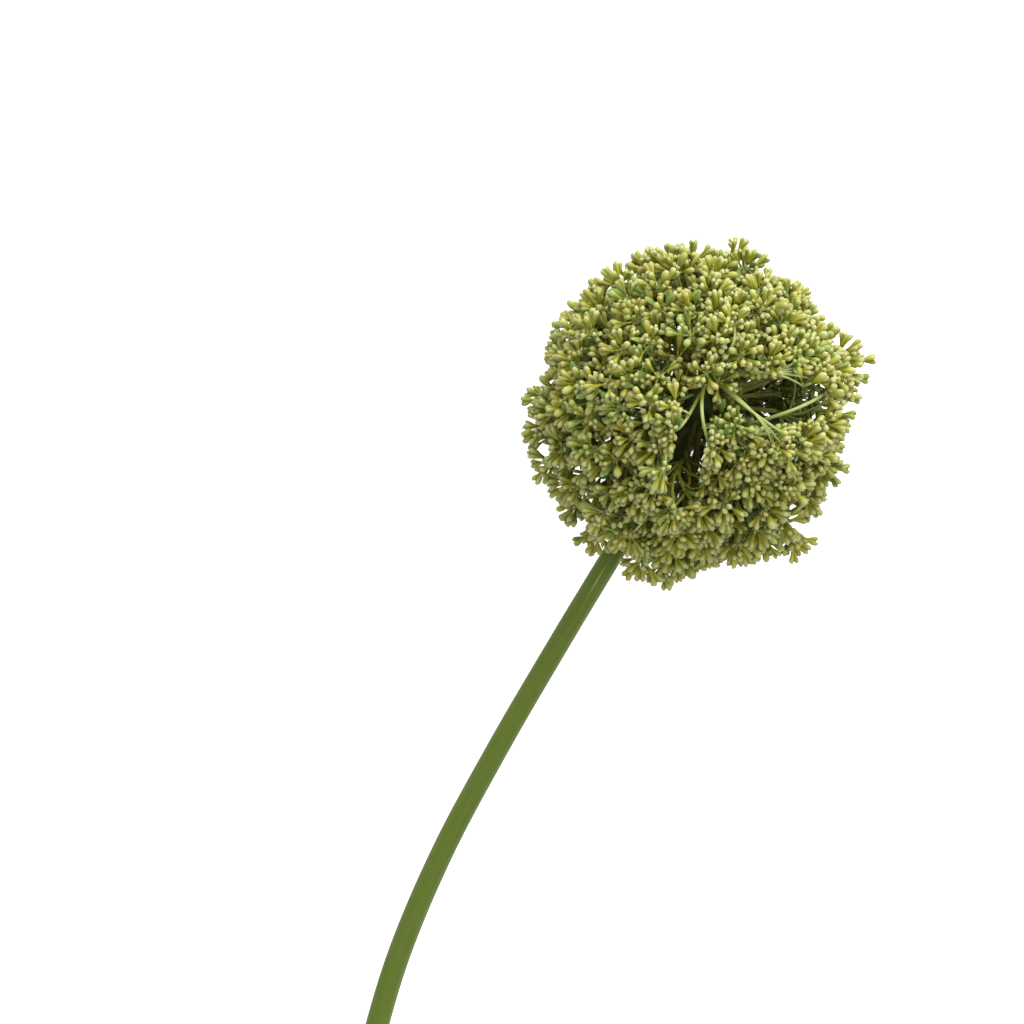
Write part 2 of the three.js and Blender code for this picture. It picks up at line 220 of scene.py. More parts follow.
class Bench:
    """Shapes one object ring by ring, in edit mode.

    Attributes:
        TOUCH: Distance under which two places count as one, in millimetres.
        LEVEL: Difference in height under which two corners count as on one ring.
    """

    TOUCH = 1e-4
    LEVEL = 1e-3

    def __init__(self, sides: int, radius: float) -> None:
        """Puts down a filled circle.

        Args:
            sides: Corners round the circle.
            radius: The circle's radius.
        """
        bpy.ops.object.select_all(action="DESELECT")
        bpy.ops.mesh.primitive_circle_add(vertices=sides, radius=radius, fill_type="NGON")
        self.item = bpy.context.object
        self.height = 0.0
        self.radius = radius
        bpy.ops.object.mode_set(mode="EDIT")
        bpy.ops.mesh.select_mode(type="VERT")
        bpy.ops.mesh.select_all(action="SELECT")

    def ring(self, height: float, radius: float) -> None:
        """Draws the open end on to the next ring.

        Args:
            height: The ring's height over the start.
            radius: The ring's radius.
        """
        rise = height - self.height
        bpy.ops.mesh.extrude_region_move(TRANSFORM_OT_translate={"value": (0, 0, rise)})
        share = radius / self.radius
        bpy.ops.transform.resize(value=(share, share, 1), center_override=(0, 0, height))
        self.height = height
        self.radius = radius

    def close(self, height: float) -> None:
        """Closes the open end by a point.

        Args:
            height: The point's height over the start.
        """
        bpy.ops.mesh.poke()
        top = self.height - self.TOUCH
        self.pick(lambda x, y, z: math.hypot(x, y) < self.TOUCH and z > top)
        bpy.ops.transform.translate(value=(0, 0, height - self.height))

    def pick(self, wanted: Callable[[float, float, float], bool]) -> None:
        """Selects some corners, and only them.

        Args:
            wanted: Says by a corner's place whether it is selected.
        """
        mesh = bmesh.from_edit_mesh(self.item.data)
        for corner in mesh.verts:
            corner.select_set(bool(wanted(*corner.co)))
        mesh.select_flush(True)
        bmesh.update_edit_mesh(self.item.data)

    def take(self, groove_shade: Callable[[np.ndarray], np.ndarray] | None = None) -> Template:
        """Ends the work and takes the object away.

        Args:
            groove_shade: Says for an array of places which of them lie in the grooves, where shade is
                painted.

        Returns:
            The finished shape.
        """
        bpy.ops.object.mode_set(mode="OBJECT")
        mesh = self.item.data
        points = np.array([corner.co for corner in mesh.vertices])
        faces = [tuple(face.vertices) for face in mesh.polygons]
        bpy.data.objects.remove(self.item)
        bpy.data.meshes.remove(mesh)
        low, high = points[:, 2].min(), points[:, 2].max()
        tip = (points[:, 2] - low) / (high - low)
        in_groove = groove_shade(points) if groove_shade else np.zeros(len(points), bool)
        return Template(points, faces, tip, in_groove.astype(float))


class FloretKind(Enum):
    """What stands at the end of a pedicel; the value is the number of its lobes."""

    LEAFLET = 0
    BUD = 1
    PAIR = 2
    TRIO = 3


@dataclass
class FloretModel:
    """One floret: a funnel that widens upwards and ends in rounded lobes with grooves between them.

    Attributes:
        rings: Height and radius of each ring of a lobed floret, from the foot up.
        bud_rings: The same of a closed bud.
        crown: Height of the middle of a lobed floret's top.
        bud_crown: Height of a bud's top.
        fewest_sides: Corners round a ring, to which one is added for each lobe. Two lobes then have
            8 and three have 9, so that each groove runs along a row of corners.
        groove_from: Height from which the grooves cut in.
        groove_share: How far out a groove's bottom stays at the top, as a share of the radius.
        groove_bend: How soon a groove gets deep; under 1 is soon.
        groove_drop: How far a groove's end lies below the lobes beside it.
        groove_width: Share of the way to the next groove within which a corner is in this one.
        axis_width: Distance from the axis within which a corner is on it.
        pair_width: Widening of a two-lobed floret across its groove.
        pair_depth: Narrowing of a two-lobed floret along its groove.
    """

    rings: Sequence[tuple[float, float]] = (
        (0.0, 0.34), (1.2, 0.46), (2.4, 0.78), (3.5, 1.24), (4.5, 1.7), (5.4, 1.78), (6.05, 1.2),
    )
    bud_rings: Sequence[tuple[float, float]] = (
        (0.0, 0.34), (1.2, 0.52), (2.4, 0.9), (3.6, 1.2), (4.8, 1.2), (5.7, 0.7),
    )
    crown: float = 4.7
    bud_crown: float = 6.0
    fewest_sides: int = 6
    groove_from: float = 2.3
    groove_share: float = 0.2
    groove_bend: float = 0.6
    groove_drop: float = 0.8
    groove_width: float = 0.02
    axis_width: float = 0.05
    pair_width: float = 1.1
    pair_depth: float = 0.84

    def model(self, kind: FloretKind) -> Template:
        """Models a floret with one, two or three lobes.

        Args:
            kind: The floret's kind.

        Returns:
            The floret's shape.
        """
        bud = kind is FloretKind.BUD
        lobes = kind.value
        rings = self.bud_rings if bud else self.rings
        bench = Bench(self.fewest_sides + lobes, rings[0][1])
        for height, radius in rings[1:]:
            bench.ring(height, radius)
        bench.close(self.bud_crown if bud else self.crown)
        if bud:
            return bench.take()

        def in_groove(x: float, y: float) -> bool:
            """Says whether a place lies over a groove's line."""
            turn = (math.atan2(y, x) - math.pi / 2) / (FULL_TURN / lobes)
            return math.hypot(x, y) > self.axis_width and abs(turn - round(turn)) < self.groove_width

        top = rings[-1][0]
        for height, _ in rings:
            if height < self.groove_from:
                continue
            share = (height - self.groove_from) / (top - self.groove_from)
            bench.pick(lambda x, y, z: in_groove(x, y) and abs(z - height) < Bench.LEVEL)
            cut = 1 - (1 - self.groove_share) * share**self.groove_bend
            bpy.ops.transform.resize(value=(cut, cut, 1), center_override=(0, 0, height))
            bpy.ops.transform.translate(value=(0, 0, -self.groove_drop * share**2))
        if kind is FloretKind.PAIR:
            bpy.ops.mesh.select_all(action="SELECT")
            shape = (self.pair_width, self.pair_depth, 1)
            bpy.ops.transform.resize(value=shape, center_override=(0, 0, 0))

        def groove_shaded(x: float, y: float, z: float) -> bool:
            """Says whether a corner gets the painted shade of the grooves."""
            in_the_middle = math.hypot(x, y) < self.axis_width
            return z > self.groove_from and (in_groove(x, y) or in_the_middle)

        return bench.take(lambda points: np.array([groove_shaded(*place) for place in points]))


@dataclass
class LeafletModel:
    """One small, fleshy, spoon-shaped leaflet.

    Attributes:
        rings: Height and half-width of each cross-section, from the foot up.
        tip: Height of the tip.
        sides: Corners round a cross-section.
        thickness: Thickness of the blade as a share of its width.
        cup: How far the blade's edges stand up from its middle.
        cup_shares: Shares of the half-width outside which the blade is lifted, each by an equal part.
    """

    rings: Sequence[tuple[float, float]] = (
        (0.0, 0.32), (1.0, 0.45), (2.2, 0.84), (3.4, 1.1), (4.6, 0.98), (5.5, 0.5),
    )
    tip: float = 5.95
    sides: int = 8
    thickness: float = 0.42
    cup: float = 0.4
    cup_shares: tuple[float, float] = (0.45, 0.9)

    def model(self) -> Template:
        """Models the leaflet.

        Returns:
            The leaflet's shape, with its hollow side towards +Y.
        """
        bench = Bench(self.sides, self.rings[0][1])
        for height, radius in self.rings[1:]:
            bench.ring(height, radius)
        bench.close(self.tip)
        bpy.ops.mesh.select_all(action="SELECT")
        bpy.ops.transform.resize(value=(1, self.thickness, 1), center_override=(0, 0, 0))
        half_width = max(radius for _, radius in self.rings)
        for share in self.cup_shares:
            bench.pick(lambda x, y, z: abs(x) > share * half_width and z > self.rings[1][0])
            bpy.ops.transform.translate(value=(0, self.cup / len(self.cup_shares), 0))
        return bench.take()


@dataclass(frozen=True)
class TubeModel:
    """A straight, closed tube of radius 1 and length 1, which is later laid along a line.

    Attributes:
        sides: Corners round the tube.
        steps: Heights and radii of its rings, as shares of the tube's length and radius.
    """

    sides: int
    steps: Sequence[tuple[float, float]]

    def model(self) -> Template:
        """Models the tube.

        Returns:
            The tube's shape.
        """
        bench = Bench(self.sides, self.steps[0][1])
        for height, radius in self.steps[1:]:
            bench.ring(height, radius)
        return bench.take()


class Skin:
    """Gathers copies of shapes into the one mesh of a piece.

    Attributes:
        ATTRIBUTES: What the materials read on each corner: its height in its own shape, whether it
            lies in the grooves where shade is painted, a number by chance for each copy and one for
            each umbel, and its depth in the ball's painted shade.
    """

    ATTRIBUTES = ("tip", "groove_shade", "chance", "tone", "depth")

    def __init__(self) -> None:
        """Starts empty."""
        self.points: list[np.ndarray] = []
        self.faces: list[tuple[int, ...]] = []
        self.slots: list[int] = []
        self.values: dict[str, list[np.ndarray]] = {name: [] for name in self.ATTRIBUTES}
        self.count = 0

    def add(self, template: Template, points: np.ndarray, slot: int, **values: float) -> None:
        """Adds one copy.

        Args:
            template: The shape that is copied.
            points: Where the copy's corners are, in millimetres.
            slot: Number of the copy's material.
            **values: Attributes that are the same all over the copy.
        """
        self.faces += [tuple(c + self.count for c in face) for face in template.faces]
        self.slots += [slot] * len(template.faces)
        self.points.append(points)
        self.count += len(points)
        own = {"tip": template.tip, "groove_shade": template.groove_shade}
        for name in self.ATTRIBUTES:
            value = values.get(name, own.get(name, 0.0))
            self.values[name].append(np.broadcast_to(value, len(points)))

    def piece(self, name: str, materials: Sequence[bpy.types.Material]) -> bpy.types.Object:
        """Makes the piece.

        Args:
            name: The piece's name.
            materials: Its materials, in the order of their numbers.

        Returns:
            The piece, smooth-shaded and in metres.
        """
        mesh = bpy.data.meshes.new(name)
        mesh.from_pydata(np.concatenate(self.points) * MM, [], self.faces)
        for material in materials:
            mesh.materials.append(material)
        mesh.polygons.foreach_set("material_index", self.slots)
        mesh.polygons.foreach_set("use_smooth", [True] * len(mesh.polygons))
        for attribute, parts in self.values.items():
            add_attribute(mesh, attribute, np.concatenate(parts))
        mesh.update()
        item = bpy.data.objects.new(name, mesh)
        bpy.context.scene.collection.objects.link(item)
        return item


def laid_along(
    template: Template, line: np.ndarray, radii: tuple[float, float], flat: float = 1.0
) -> np.ndarray:
    """Lays a straight tube along a quadratic curve.

    Args:
        template: The tube.
        line: The curve's start, control point and end, one in each row.
        radii: The tube's radius at its start and at its end.
        flat: Thickness of the tube across its width, as a share of the width.

    Returns:
        Places of the tube's corners.
    """
    t = template.points[:, 2:3]
    centre = on_curve(line, t)
    heading = unit(curve_heading(line, t))
    chord = line[2] - line[0]
    reference = np.cross(chord, UP if abs(unit(chord)[2]) < STEEP else SIDEWAYS)
    right = unit(np.cross(np.cross(heading, reference), heading))
    over = np.cross(heading, right)
    radius = radii[0] + (radii[1] - radii[0]) * t
    x, y = template.points[:, 0:1], template.points[:, 1:2]
    return centre + (right * x + over * y * flat) * radius


# --------------------------------------------------------------------------- how the head grows


@dataclass(frozen=True)
class Swell:
    """A place where the ball swells out or falls in: its plan angle, by how much, and how wide."""

    angle: float
    extra: float
    width: float


@dataclass(frozen=True)
class Gap:
    """A gap in the ball's upper side between two plan places, with its half-width in degrees."""

    start: tuple[float, float]
    end: tuple[float, float]
    radius: float


@dataclass(frozen=True)
class Channel:
    """A clear view down into the ball, between nearly upright walls.

    Attributes:
        start: Plan place of one end at the ball's surface, from the head's centre.
        end: Plan place of the other end.
        half_width: Distance from its middle line to its walls.
        floor: Lowest height over the head's centre that it reaches down to.
        top: Height at which the places are given.
        gloom: How much deeper in the ball's shade its stalks count, as a share of the whole depth.
        eye: The point that its walls lead away from, so that one sees down into it from there.
    """

    start: tuple[float, float]
    end: tuple[float, float]
    half_width: float
    floor: float
    top: float = 57.0
    gloom: float = 0.0
    eye: tuple[float, float, float] = (*CAMERA_ASIDE, CAMERA_HEIGHT - HEAD_CENTRE[2])

    def aside(self, points: np.ndarray) -> np.ndarray:
        """Measures how far points are from the channel's middle.

        Args:
            points: Places from the head's centre, one in each row.

        Returns:
            The way from the middle to each point, in plan at the channel's top.
        """
        eye = np.array(self.eye[:2])
        zoom = (self.eye[2] - self.top) / (self.eye[2] - points[:, 2:3])
        plan = eye + (points[:, :2] - eye) * zoom
        start, span = np.array(self.start), np.array(self.end) - np.array(self.start)
        along = np.clip((plan - start) @ span / (span @ span), 0, 1)[:, None]
        return plan - start - along * span

    def cleared(self, points: np.ndarray, radii: np.ndarray | float) -> np.ndarray:
        """Moves points out of the channel.

        Args:
            points: Places from the head's centre, one in each row.
            radii: Room that each point keeps from the walls.

        Returns:
            The moved places.
        """
        aside = self.aside(points)
        distance = np.linalg.norm(aside, axis=1)
        short = np.maximum(self.half_width + radii - distance, 0) * (points[:, 2] > self.floor)
        moved = points.copy()
        moved[:, :2] += unit(aside) * short[:, None]
        return moved


# Small gaps in the cover through which the table shows: each one's ends and half its width.
THROUGH_THE_BALL = -70.0
PEEPHOLES: Sequence[Channel] = tuple(
    Channel(start, end, half_width, THROUGH_THE_BALL)
    for start, end, half_width in (
        ((-19.5, 13.1), (-18.8, 15.0), 1.3), ((-18.4, 6.6), (-16.2, 5.3), 1.5),
        ((-21.5, -14.1), (-20.8, -11.4), 1.4), ((-32.0, -40.6), (-29.8, -40.3), 1.3),
        ((48.5, -24.4), (51.0, -24.7), 1.5), ((12.0, -12.7), (13.0, -10.7), 1.0),
        ((-46.0, -38.3), (-43.7, -39.1), 1.3), ((32.8, 40.7), (36.3, 40.8), 1.6),
        ((24.5, -26.7), (26.4, -25.8), 0.9), ((-38.4, -23.7), (-36.7, -25.6), 1.2),
        ((-22.5, -40.0), (-20.4, -40.2), 1.0), ((-22.0, -57.4), (-20.7, -56.0), 1.1),
        ((-25.0, -25.6), (-23.2, -27.0), 0.8), ((43.8, -19.5), (46.3, -21.5), 1.2),
    )
)


@dataclass(frozen=True)
class Stray:
    """A small umbel that stands out of the ball's even cover.

    Attributes:
        angle: Its plan angle.
        rise: Its angle over the level of the head's centre.
        extra: How far its florets reach beyond the others.
        florets: How many florets it carries.
    """

    angle: float
    rise: float
    extra: float
    florets: int

    def direction(self) -> np.ndarray:
        """Finds its direction.

        Returns:
            The direction from the head's centre.
        """
        angle, rise = math.radians(self.angle), math.radians(self.rise)
        level = math.cos(rise)
        return np.array([level * math.cos(angle), level * math.sin(angle), math.sin(rise)])


@dataclass(frozen=True)
class Bough:
    """A stout stalk that shows in a gap or lies over the florets.

    Attributes:
        over: Plan place from the head's centre that it arches over, and its depth there.
        end: Plan place and depth of its umbel's knot.
        florets: How many florets its umbel carries.
        radius: The stalk's radius.
    """

    over: tuple[float, float, float]
    end: tuple[float, float, float]
    florets: int
    radius: float = 0.7


@dataclass(frozen=True)
class UmbelKind:
    """What umbels of one kind have in common.

    Attributes:
        radii: Their stalk's radius at its start and at its end.
        florets: Fewest and most florets.
        spread: The tilt of their outermost florets in degrees.
        drop: Least and most distance that their florets stay under the ball's cover.
        margin: Angle in degrees that they keep from the edge of a gap.
    """

    radii: tuple[float, float]
    florets: tuple[int, int]
    spread: float
    drop: tuple[float, float] = (0.0, 0.0)
    margin: float = 3.0


@dataclass(frozen=True)
class Umbel:
    """One umbel on its stalk.

    Attributes:
        knot: Where the florets start.
        axis: Direction that the umbel faces.
        stalk: Start, control point and end of the stalk's line.
        kind: Its kind.
        florets: How many florets it carries.
        bowed: Whether the stalk is a bough.
    """

    knot: np.ndarray
    axis: np.ndarray
    stalk: np.ndarray
    kind: UmbelKind
    florets: int
    bowed: bool


@dataclass(frozen=True)
class Spray:
    """One ray with all its umbels."""

    index: int
    ray: np.ndarray
    umbels: list[Umbel]


@dataclass
class Head:
    """The rule that places every ray, stalk and umbel, the same as for the solids.

    Directions are worked out from the head's centre, in cells with flat walls between neighbouring
    sprays. They are then turned a little away from the stem, which opens its way through the ball.
    Angles are in degrees.
    """

    # The ball, and how far its cover reaches. A dent is taller than wide, by one over dent_height.
    # Where the ball would reach through the table, it is pressed flat and a little into itself.
    centre: tuple[float, float, float] = HEAD_CENTRE
    radius: float = 62.2
    reach_jitter: float = 3.2
    pressed_depth: float = 3.0
    dent_height: float = 0.55
    lowest_point: float = 1.5
    swells: Sequence[Swell] = tuple(
        Swell(*row)
        for row in (
            (22, -13.5, 12), (44, 9.5, 12), (62, -9, 9), (85, -2, 9), (101, 2, 9), (109, -5, 8),
            (133, 2, 9), (193, -6, 9), (217, 6, 11), (252, 6, 11), (284, 11.5, 12), (303, -9, 9),
            (335, 5, 12), (355, -8.5, 11),
        )
    )

    # The stem's way out of the ball, and the knob that the rays grow from.
    knob_radius: float = 9.5
    root_depth: float = 1.0
    stem_step: tuple[float, float, float] = (-3.4, -48.0, -10.4)
    stem_radius: float = 3.85
    stem_clearance: float = 0.6
    stem_gap_angle: float = 9.0
    near_stem_angle: float = 45.0

    # The two gaps in the upper side, and the clear views into them and through the ball.
    gaps: Sequence[Gap] = (Gap((-1, -1), (6, -29), 5.0), Gap((13, 11), (36, 18), 7.5))
    channels: Sequence[Channel] = (
        Channel((-2.2, -0.8), (5.2, -29.6), 5.3, -15, gloom=0.28),
        Channel((18, 9), (31, 17.5), 8.0, -12, gloom=-0.2),
        *PEEPHOLES,
    )
    knot_room: float = 3.0
    stalk_room: float = 1.0
    shade_reach: float = 60.0
    gloom_from: float = 0.12

    # Sprays, and the cells that they keep to.
    spray_count: int = 52
    spray_seed: int = 41
    spray_jitter: float = 0.09
    spray_gap_spread: float = 2.0
    neighbour_angle: float = 75.0
    cell_clearance: float = 0.2
    cell_rounds: int = 6
    wide_cell: float = 18.5
    widest_cell: float = 27.0
    width_looks: int = 8

    # Each spray's ray.
    fork_radius: float = 30.0
    ray_radii: tuple[float, float] = (0.95, 0.8)
    ray_bow: float = 3.2

    # The umbels' places in a cell.
    few_umbels: int = 4
    umbel_share: float = 0.54
    umbel_gap_margin: float = 6.5
    umbel_wall_margin: float = 5.5
    umbel_jitter: float = 0.25
    crowded_angle: float = 10.5
    spread_rounds: int = 12
    lower_share: float = 0.8
    inner_share: tuple[float, float] = (0.25, 0.95)
    inner_turn: float = 0.6

    # Umbels and their stalks. An umbel's florets reach umbel_depth beyond its knot.
    umbel_depth: float = 8.9
    outer: UmbelKind = UmbelKind((0.68, 0.54), (6, 8), 72.0)
    lower: UmbelKind = UmbelKind((0.5, 0.42), (4, 6), 80.0, (4.5, 9.0))
    middlemost: UmbelKind = UmbelKind((0.68, 0.54), (5, 7), 70.0, (1.0, 4.0), 4.0)
    inner: UmbelKind = UmbelKind((0.5, 0.42), (5, 7), 88.0, (11.0, 21.0))
    stray_spread: float = 62.0
    bough_spread: float = 78.0
    bough_taper: float = 0.75
    lower_root: tuple[float, float] = (0.35, 0.6)
    stalk_bend: float = 0.42
    stalk_jitter: float = 0.035
    inner_jitter: float = 0.3
    outward_lean: float = 0.7
    stalk_lean: float = 0.3

    # Umbels that stand out of the even cover, and the stout stalks that one sees.
    strays: Sequence[Stray] = tuple(
        Stray(*row)
        for row in (
            (102, 3, 5.0, 4), (97, 9, 1.0, 3), (69, 4, 3.0, 3), (88, 14, -8.0, 6), (93, 6, -7.0, 6),
            (96, -5, -7.0, 6), (131, -4, -7.0, 6), (137, 8, -7.0, 6), (50, 8, -3.5, 4),
            (42, -6, -0.5, 3), (204, 3, 3.5, 4), (221, -5, -0.5, 4), (274, 5, 1.5, 4),
            (293, -4, -1.0, 4), (307, 4, 2.0, 3), (331, 2, 1.0, 4), (273, 14, -3.0, 6),
            (278, 22, -4.0, 6), (280, -6, -5.0, 6), (287, 5, -5.0, 6), (293, 14, -5.0, 6),
            (275, 3, -9.0, 7), (283, 13, -10.0, 7), (290, 2, -9.0, 7), (284, -4, -9.0, 7),
            (279, 32, -6.0, 6), (298, 8, -6.0, 6), (258, 41, -1.0, 6), (264.5, 38, -1.5, 6),
        )
    )
    stray_hosts: int = 9
    boughs: Sequence[Bough] = tuple(
        Bough(*row)
        for row in (
            ((-1.2, -2.7, 6.0), (7.2, -14.5, 7.0), 6, 0.75),
            ((-4.1, -8.5, 7.0), (-6.4, -16.7, 7.0), 5, 0.65),
            ((-4.1, -8.5, 7.0), (-9.5, -8.0, 6.0), 3, 0.5),
            ((-0.3, 22.2, 3.5), (-2.8, 31.9, 5.0), 5, 0.62),
            ((-3.0, 21.4, 4.0), (-6.1, 24.2, 5.0), 4, 0.5),
            ((17.6, 3.1, 2.0), (40.1, 1.3, 4.0), 6, 0.6),
            ((17.6, 3.1, 2.0), (36.7, -4.0, 5.0), 5, 0.45),
            ((17.6, 3.1, 2.0), (30.2, -4.6, 5.0), 5, 0.45),
            ((17.1, 21.7, 8.0), (30.0, 35.7, 7.0), 4, 0.55),
            ((17.1, 21.7, 8.0), (33.6, 34.0, 7.0), 4, 0.5),
            ((17.1, 21.7, 8.0), (36.0, 31.9, 7.0), 4, 0.5),
            ((17.1, 21.7, 8.0), (36.1, 28.3, 7.0), 4, 0.5),
            ((17.1, 21.7, 8.0), (34.6, 24.0, 8.0), 4, 0.5),
            ((32.3, 10.4, 8.0), (42.7, 24.3, 6.0), 6, 0.75),
            ((34.0, 3.7, 9.0), (41.5, 6.7, 8.0), 5, 0.5),
            ((47.6, -1.3, 4.0), (58.1, -1.3, 5.0), 5, 0.45),
            ((39.2, -10.1, 4.0), (43.7, -15.3, 5.0), 5, 0.5),
            ((-5.7, -23.2, 3.0), (-3.7, -29.2, 2.0), 5, 0.5),
            ((-43.1, -11.3, 4.0), (-35.8, -9.6, 3.0), 5, 0.6),
            ((-2.0, -44.0, 8.0), (-3.5, -57.5, 4.5), 7, 0.55),
            ((-6.0, -44.0, 8.0), (-9.0, -57.0, 4.0), 7, 0.55),
            ((-10.0, -42.0, 8.0), (-15.5, -54.5, 4.5), 6, 0.5),
        )
    )

    def __post_init__(self) -> None:
        """Works out the head's middle and the direction from there down the stem."""
        self.to_stem = unit(np.array(self.stem_step))
        self.middle = np.array(self.centre)

    def clear_of_stem(self, points: np.ndarray) -> np.ndarray:
        """Turns points, given from the centre, away from the stem.

        Args:
            points: One place in each row.

        Returns:
            The turned places.
        """
        length = np.maximum(np.linalg.norm(points, axis=-1, keepdims=True), 1e-9)
        room = (self.stem_radius + self.stem_clearance) / length
        opening = np.arcsin(np.minimum(1, room))
        cosine = np.clip((points / length) @ self.to_stem, -1, 1)[..., None]
        angle = np.arccos(cosine)
        side = unit(points / length - cosine * self.to_stem)
        turned = angle + opening * (1 - angle / math.pi)
        return length * (np.cos(turned) * self.to_stem + np.sin(turned) * side)

    def pushed_out(
        self,
        directions: np.ndarray,
        ends: tuple[np.ndarray, np.ndarray],
        inner: float,
        outer: float,
    ) -> np.ndarray:
        """Moves directions out of an arc-shaped gap.

        Args:
            directions: One direction in each row.
            ends: The directions between which the gap runs.
            inner: Angle from the gap's line that stays free.
            outer: Angle from the gap's line beyond which nothing moves.

        Returns:
            The moved directions.
        """
        start, span = ends[0], ends[1] - ends[0]
        along = ((directions - start) @ span) / max(float(span @ span), 1e-9)
        nearest = unit(start + np.clip(along, 0, 1)[..., None] * span)
        cosine = np.clip((directions * nearest).sum(-1), -1, 1)[..., None]
        angle = np.arccos(cosine)
        side = unit(directions - cosine * nearest)
        turned = np.where(angle < outer, inner + angle * (outer - inner) / outer, angle)
        return np.cos(turned) * nearest + np.sin(turned) * side

    def upper_side(self, place: tuple[float, float]) -> np.ndarray:
        """Returns the direction of a plan place on the ball's upper side."""
        x, y = place
        return unit(np.array([x, y, math.sqrt(self.radius**2 - x**2 - y**2)]))

    def clear_of_gaps(
        self, direction: np.ndarray, margin: float, spread: float = 1.0
    ) -> np.ndarray:
        """Moves a direction out of every gap and out of the stem's way.

        Args:
            direction: The direction.
            margin: Angle in degrees that is kept from a gap's edge.
            spread: How many times wider than the gap the zone is in which directions move.

        Returns:
            The moved direction.
        """
        clear = direction
        for gap in self.gaps:
            inner = math.radians(gap.radius + margin)
            ends = (self.upper_side(gap.start), self.upper_side(gap.end))
            clear = self.pushed_out(clear, ends, inner, inner * spread)
        way = math.radians(self.stem_gap_angle)
        return self.pushed_out(clear, (self.to_stem, self.to_stem), way, way)

    def sides_of(self, direction: np.ndarray) -> tuple[np.ndarray, np.ndarray]:
        """Returns two directions across a given one."""
        right = unit(np.cross(direction, UP if abs(direction[2]) < STEEP else self.to_stem))
        return right, np.cross(direction, right)

    def across(self, direction: np.ndarray, angle: float) -> np.ndarray:
        """Returns the direction across a given one at an angle round it."""
        right, over = self.sides_of(direction)
        return right * math.cos(angle) + over * math.sin(angle)

    def spray_directions(self) -> np.ndarray:
        """Spreads the sprays evenly over the ball but for the stem's way and the gaps.

        Returns:
            One direction in each row.
        """
        chance = Chance(self.spray_seed)
        right = unit(np.cross(self.to_stem, UP))
        over = np.cross(self.to_stem, right)
        first = math.cos(math.radians(self.stem_gap_angle))
        directions = []
        for i in range(self.spray_count):
            height = first + (-1 - first) * (i + 0.5) / self.spray_count
            ring = math.sqrt(1 - height**2)
            turn = i * GOLDEN_ANGLE
            direction = self.to_stem * height
            direction = direction + ring * (right * math.cos(turn) + over * math.sin(turn))
            direction += [self.spray_jitter * (chance.draw() - 0.5) for _ in range(3)]
            way = unit(direction)
            directions.append(self.clear_of_gaps(way, self.umbel_gap_margin, self.spray_gap_spread))
        return np.array(directions)

    def cell_walls(self, directions: np.ndarray, own: int) -> np.ndarray:
        """Finds the walls round one cell.

        Args:
            directions: The directions of all cells.
            own: Number of the cell.

        Returns:
            Inward normals of its walls, one in each row.
        """
        angles = np.arccos(np.clip(directions @ directions[own], -1, 1))
        near = angles < math.radians(self.neighbour_angle)
        near[own] = False
        return unit(directions[own] - directions[near])

    def into_cell(self, points: np.ndarray, walls: np.ndarray, clearance: float) -> np.ndarray:
        """Moves points into a cell until they are clear of all walls.

        Args:
            points: One place in each row.
            walls: Inward normals of the walls.
            clearance: Distance to keep from each wall.

        Returns:
            The moved places.
        """
        moved = np.array(points, float)
        for _ in range(self.cell_rounds):
            for wall in walls:
                short = np.maximum(clearance - moved @ wall, 0)
                moved = moved + short[..., None] * wall
        return moved

    def room_towards(self, direction: np.ndarray, angle: float, walls: np.ndarray) -> float:
        """Measures how far a cell's wall is from its middle, at the ball's surface.

        Args:
            direction: The cell's direction.
            angle: Angle round that direction in which the wall is looked for.
            walls: Inward normals of the walls.

        Returns:
            The distance, at most that of the widest cell.
        """
        closing = -walls @ self.across(direction, angle)
        facing = closing > 0
        rooms = self.radius * (walls[facing] @ direction) / closing[facing]
        return min(self.widest_cell, *rooms)

    def reach_of(self, direction: np.ndarray, jitter: float = 0.5) -> float:
        """Says how far the floret tips reach in a direction.

        Args:
            direction: The direction.
            jitter: A number from 0 to 1 that varies the reach; 0.5 is the even one.

        Returns:
            The distance from the centre.
        """
        reach = self.radius + self.reach_jitter * (jitter - 0.5)
        open_way = unit(self.clear_of_stem(direction * self.radius))
        level = math.hypot(open_way[0], open_way[1])
        rise = math.degrees(math.atan2(open_way[2], level))
        plan_angle = math.degrees(math.atan2(open_way[1], open_way[0]))
        for swell in self.swells:
            aside = ((plan_angle - swell.angle + 180) % 360 - 180) * level
            upright = rise * (self.dent_height if swell.extra < 0 else 1.0)
            away = math.hypot(aside, upright) / swell.width
            reach += swell.extra * math.exp(-(away**2))
        table = self.centre[2] / -open_way[2] if open_way[2] < 0 else math.inf
        return table + self.pressed_depth if reach > table else reach

    def umbel_places(
        self, direction: np.ndarray, walls: np.ndarray, chance: Chance
    ) -> tuple[list[float], list[np.ndarray], list[float]]:
        """Places a spray's outer umbels, in order round its ray and spread in its cell.

        Args:
            direction: The spray's direction.
            walls: Inward normals of its cell's walls.
            chance: The spray's own stream of numbers.

        Returns:
            The umbels' angles round the ray, their directions and their reaches.
        """
        looks = [FULL_TURN * i / self.width_looks for i in range(self.width_looks)]
        rooms = [self.room_towards(direction, turn, walls) for turn in looks]
        width = sum(rooms) / self.width_looks
        start = chance.draw() * FULL_TURN
        count = self.few_umbels + (1 if width > self.wide_cell else 0)
        turns = [start + FULL_TURN * i / count for i in range(count)]
        places = []
        for even in turns:
            turn = even + self.umbel_jitter * (chance.draw() - 0.5)
            room = self.room_towards(direction, turn, walls)
            aside = self.across(direction, turn) * room * self.umbel_share
            place = unit(direction * self.radius + aside)
            places.append(self.clear_of_gaps(place, self.umbel_gap_margin))
        self.spread_out(places, walls)
        return turns, places, [self.reach_of(place, chance.draw()) for place in places]

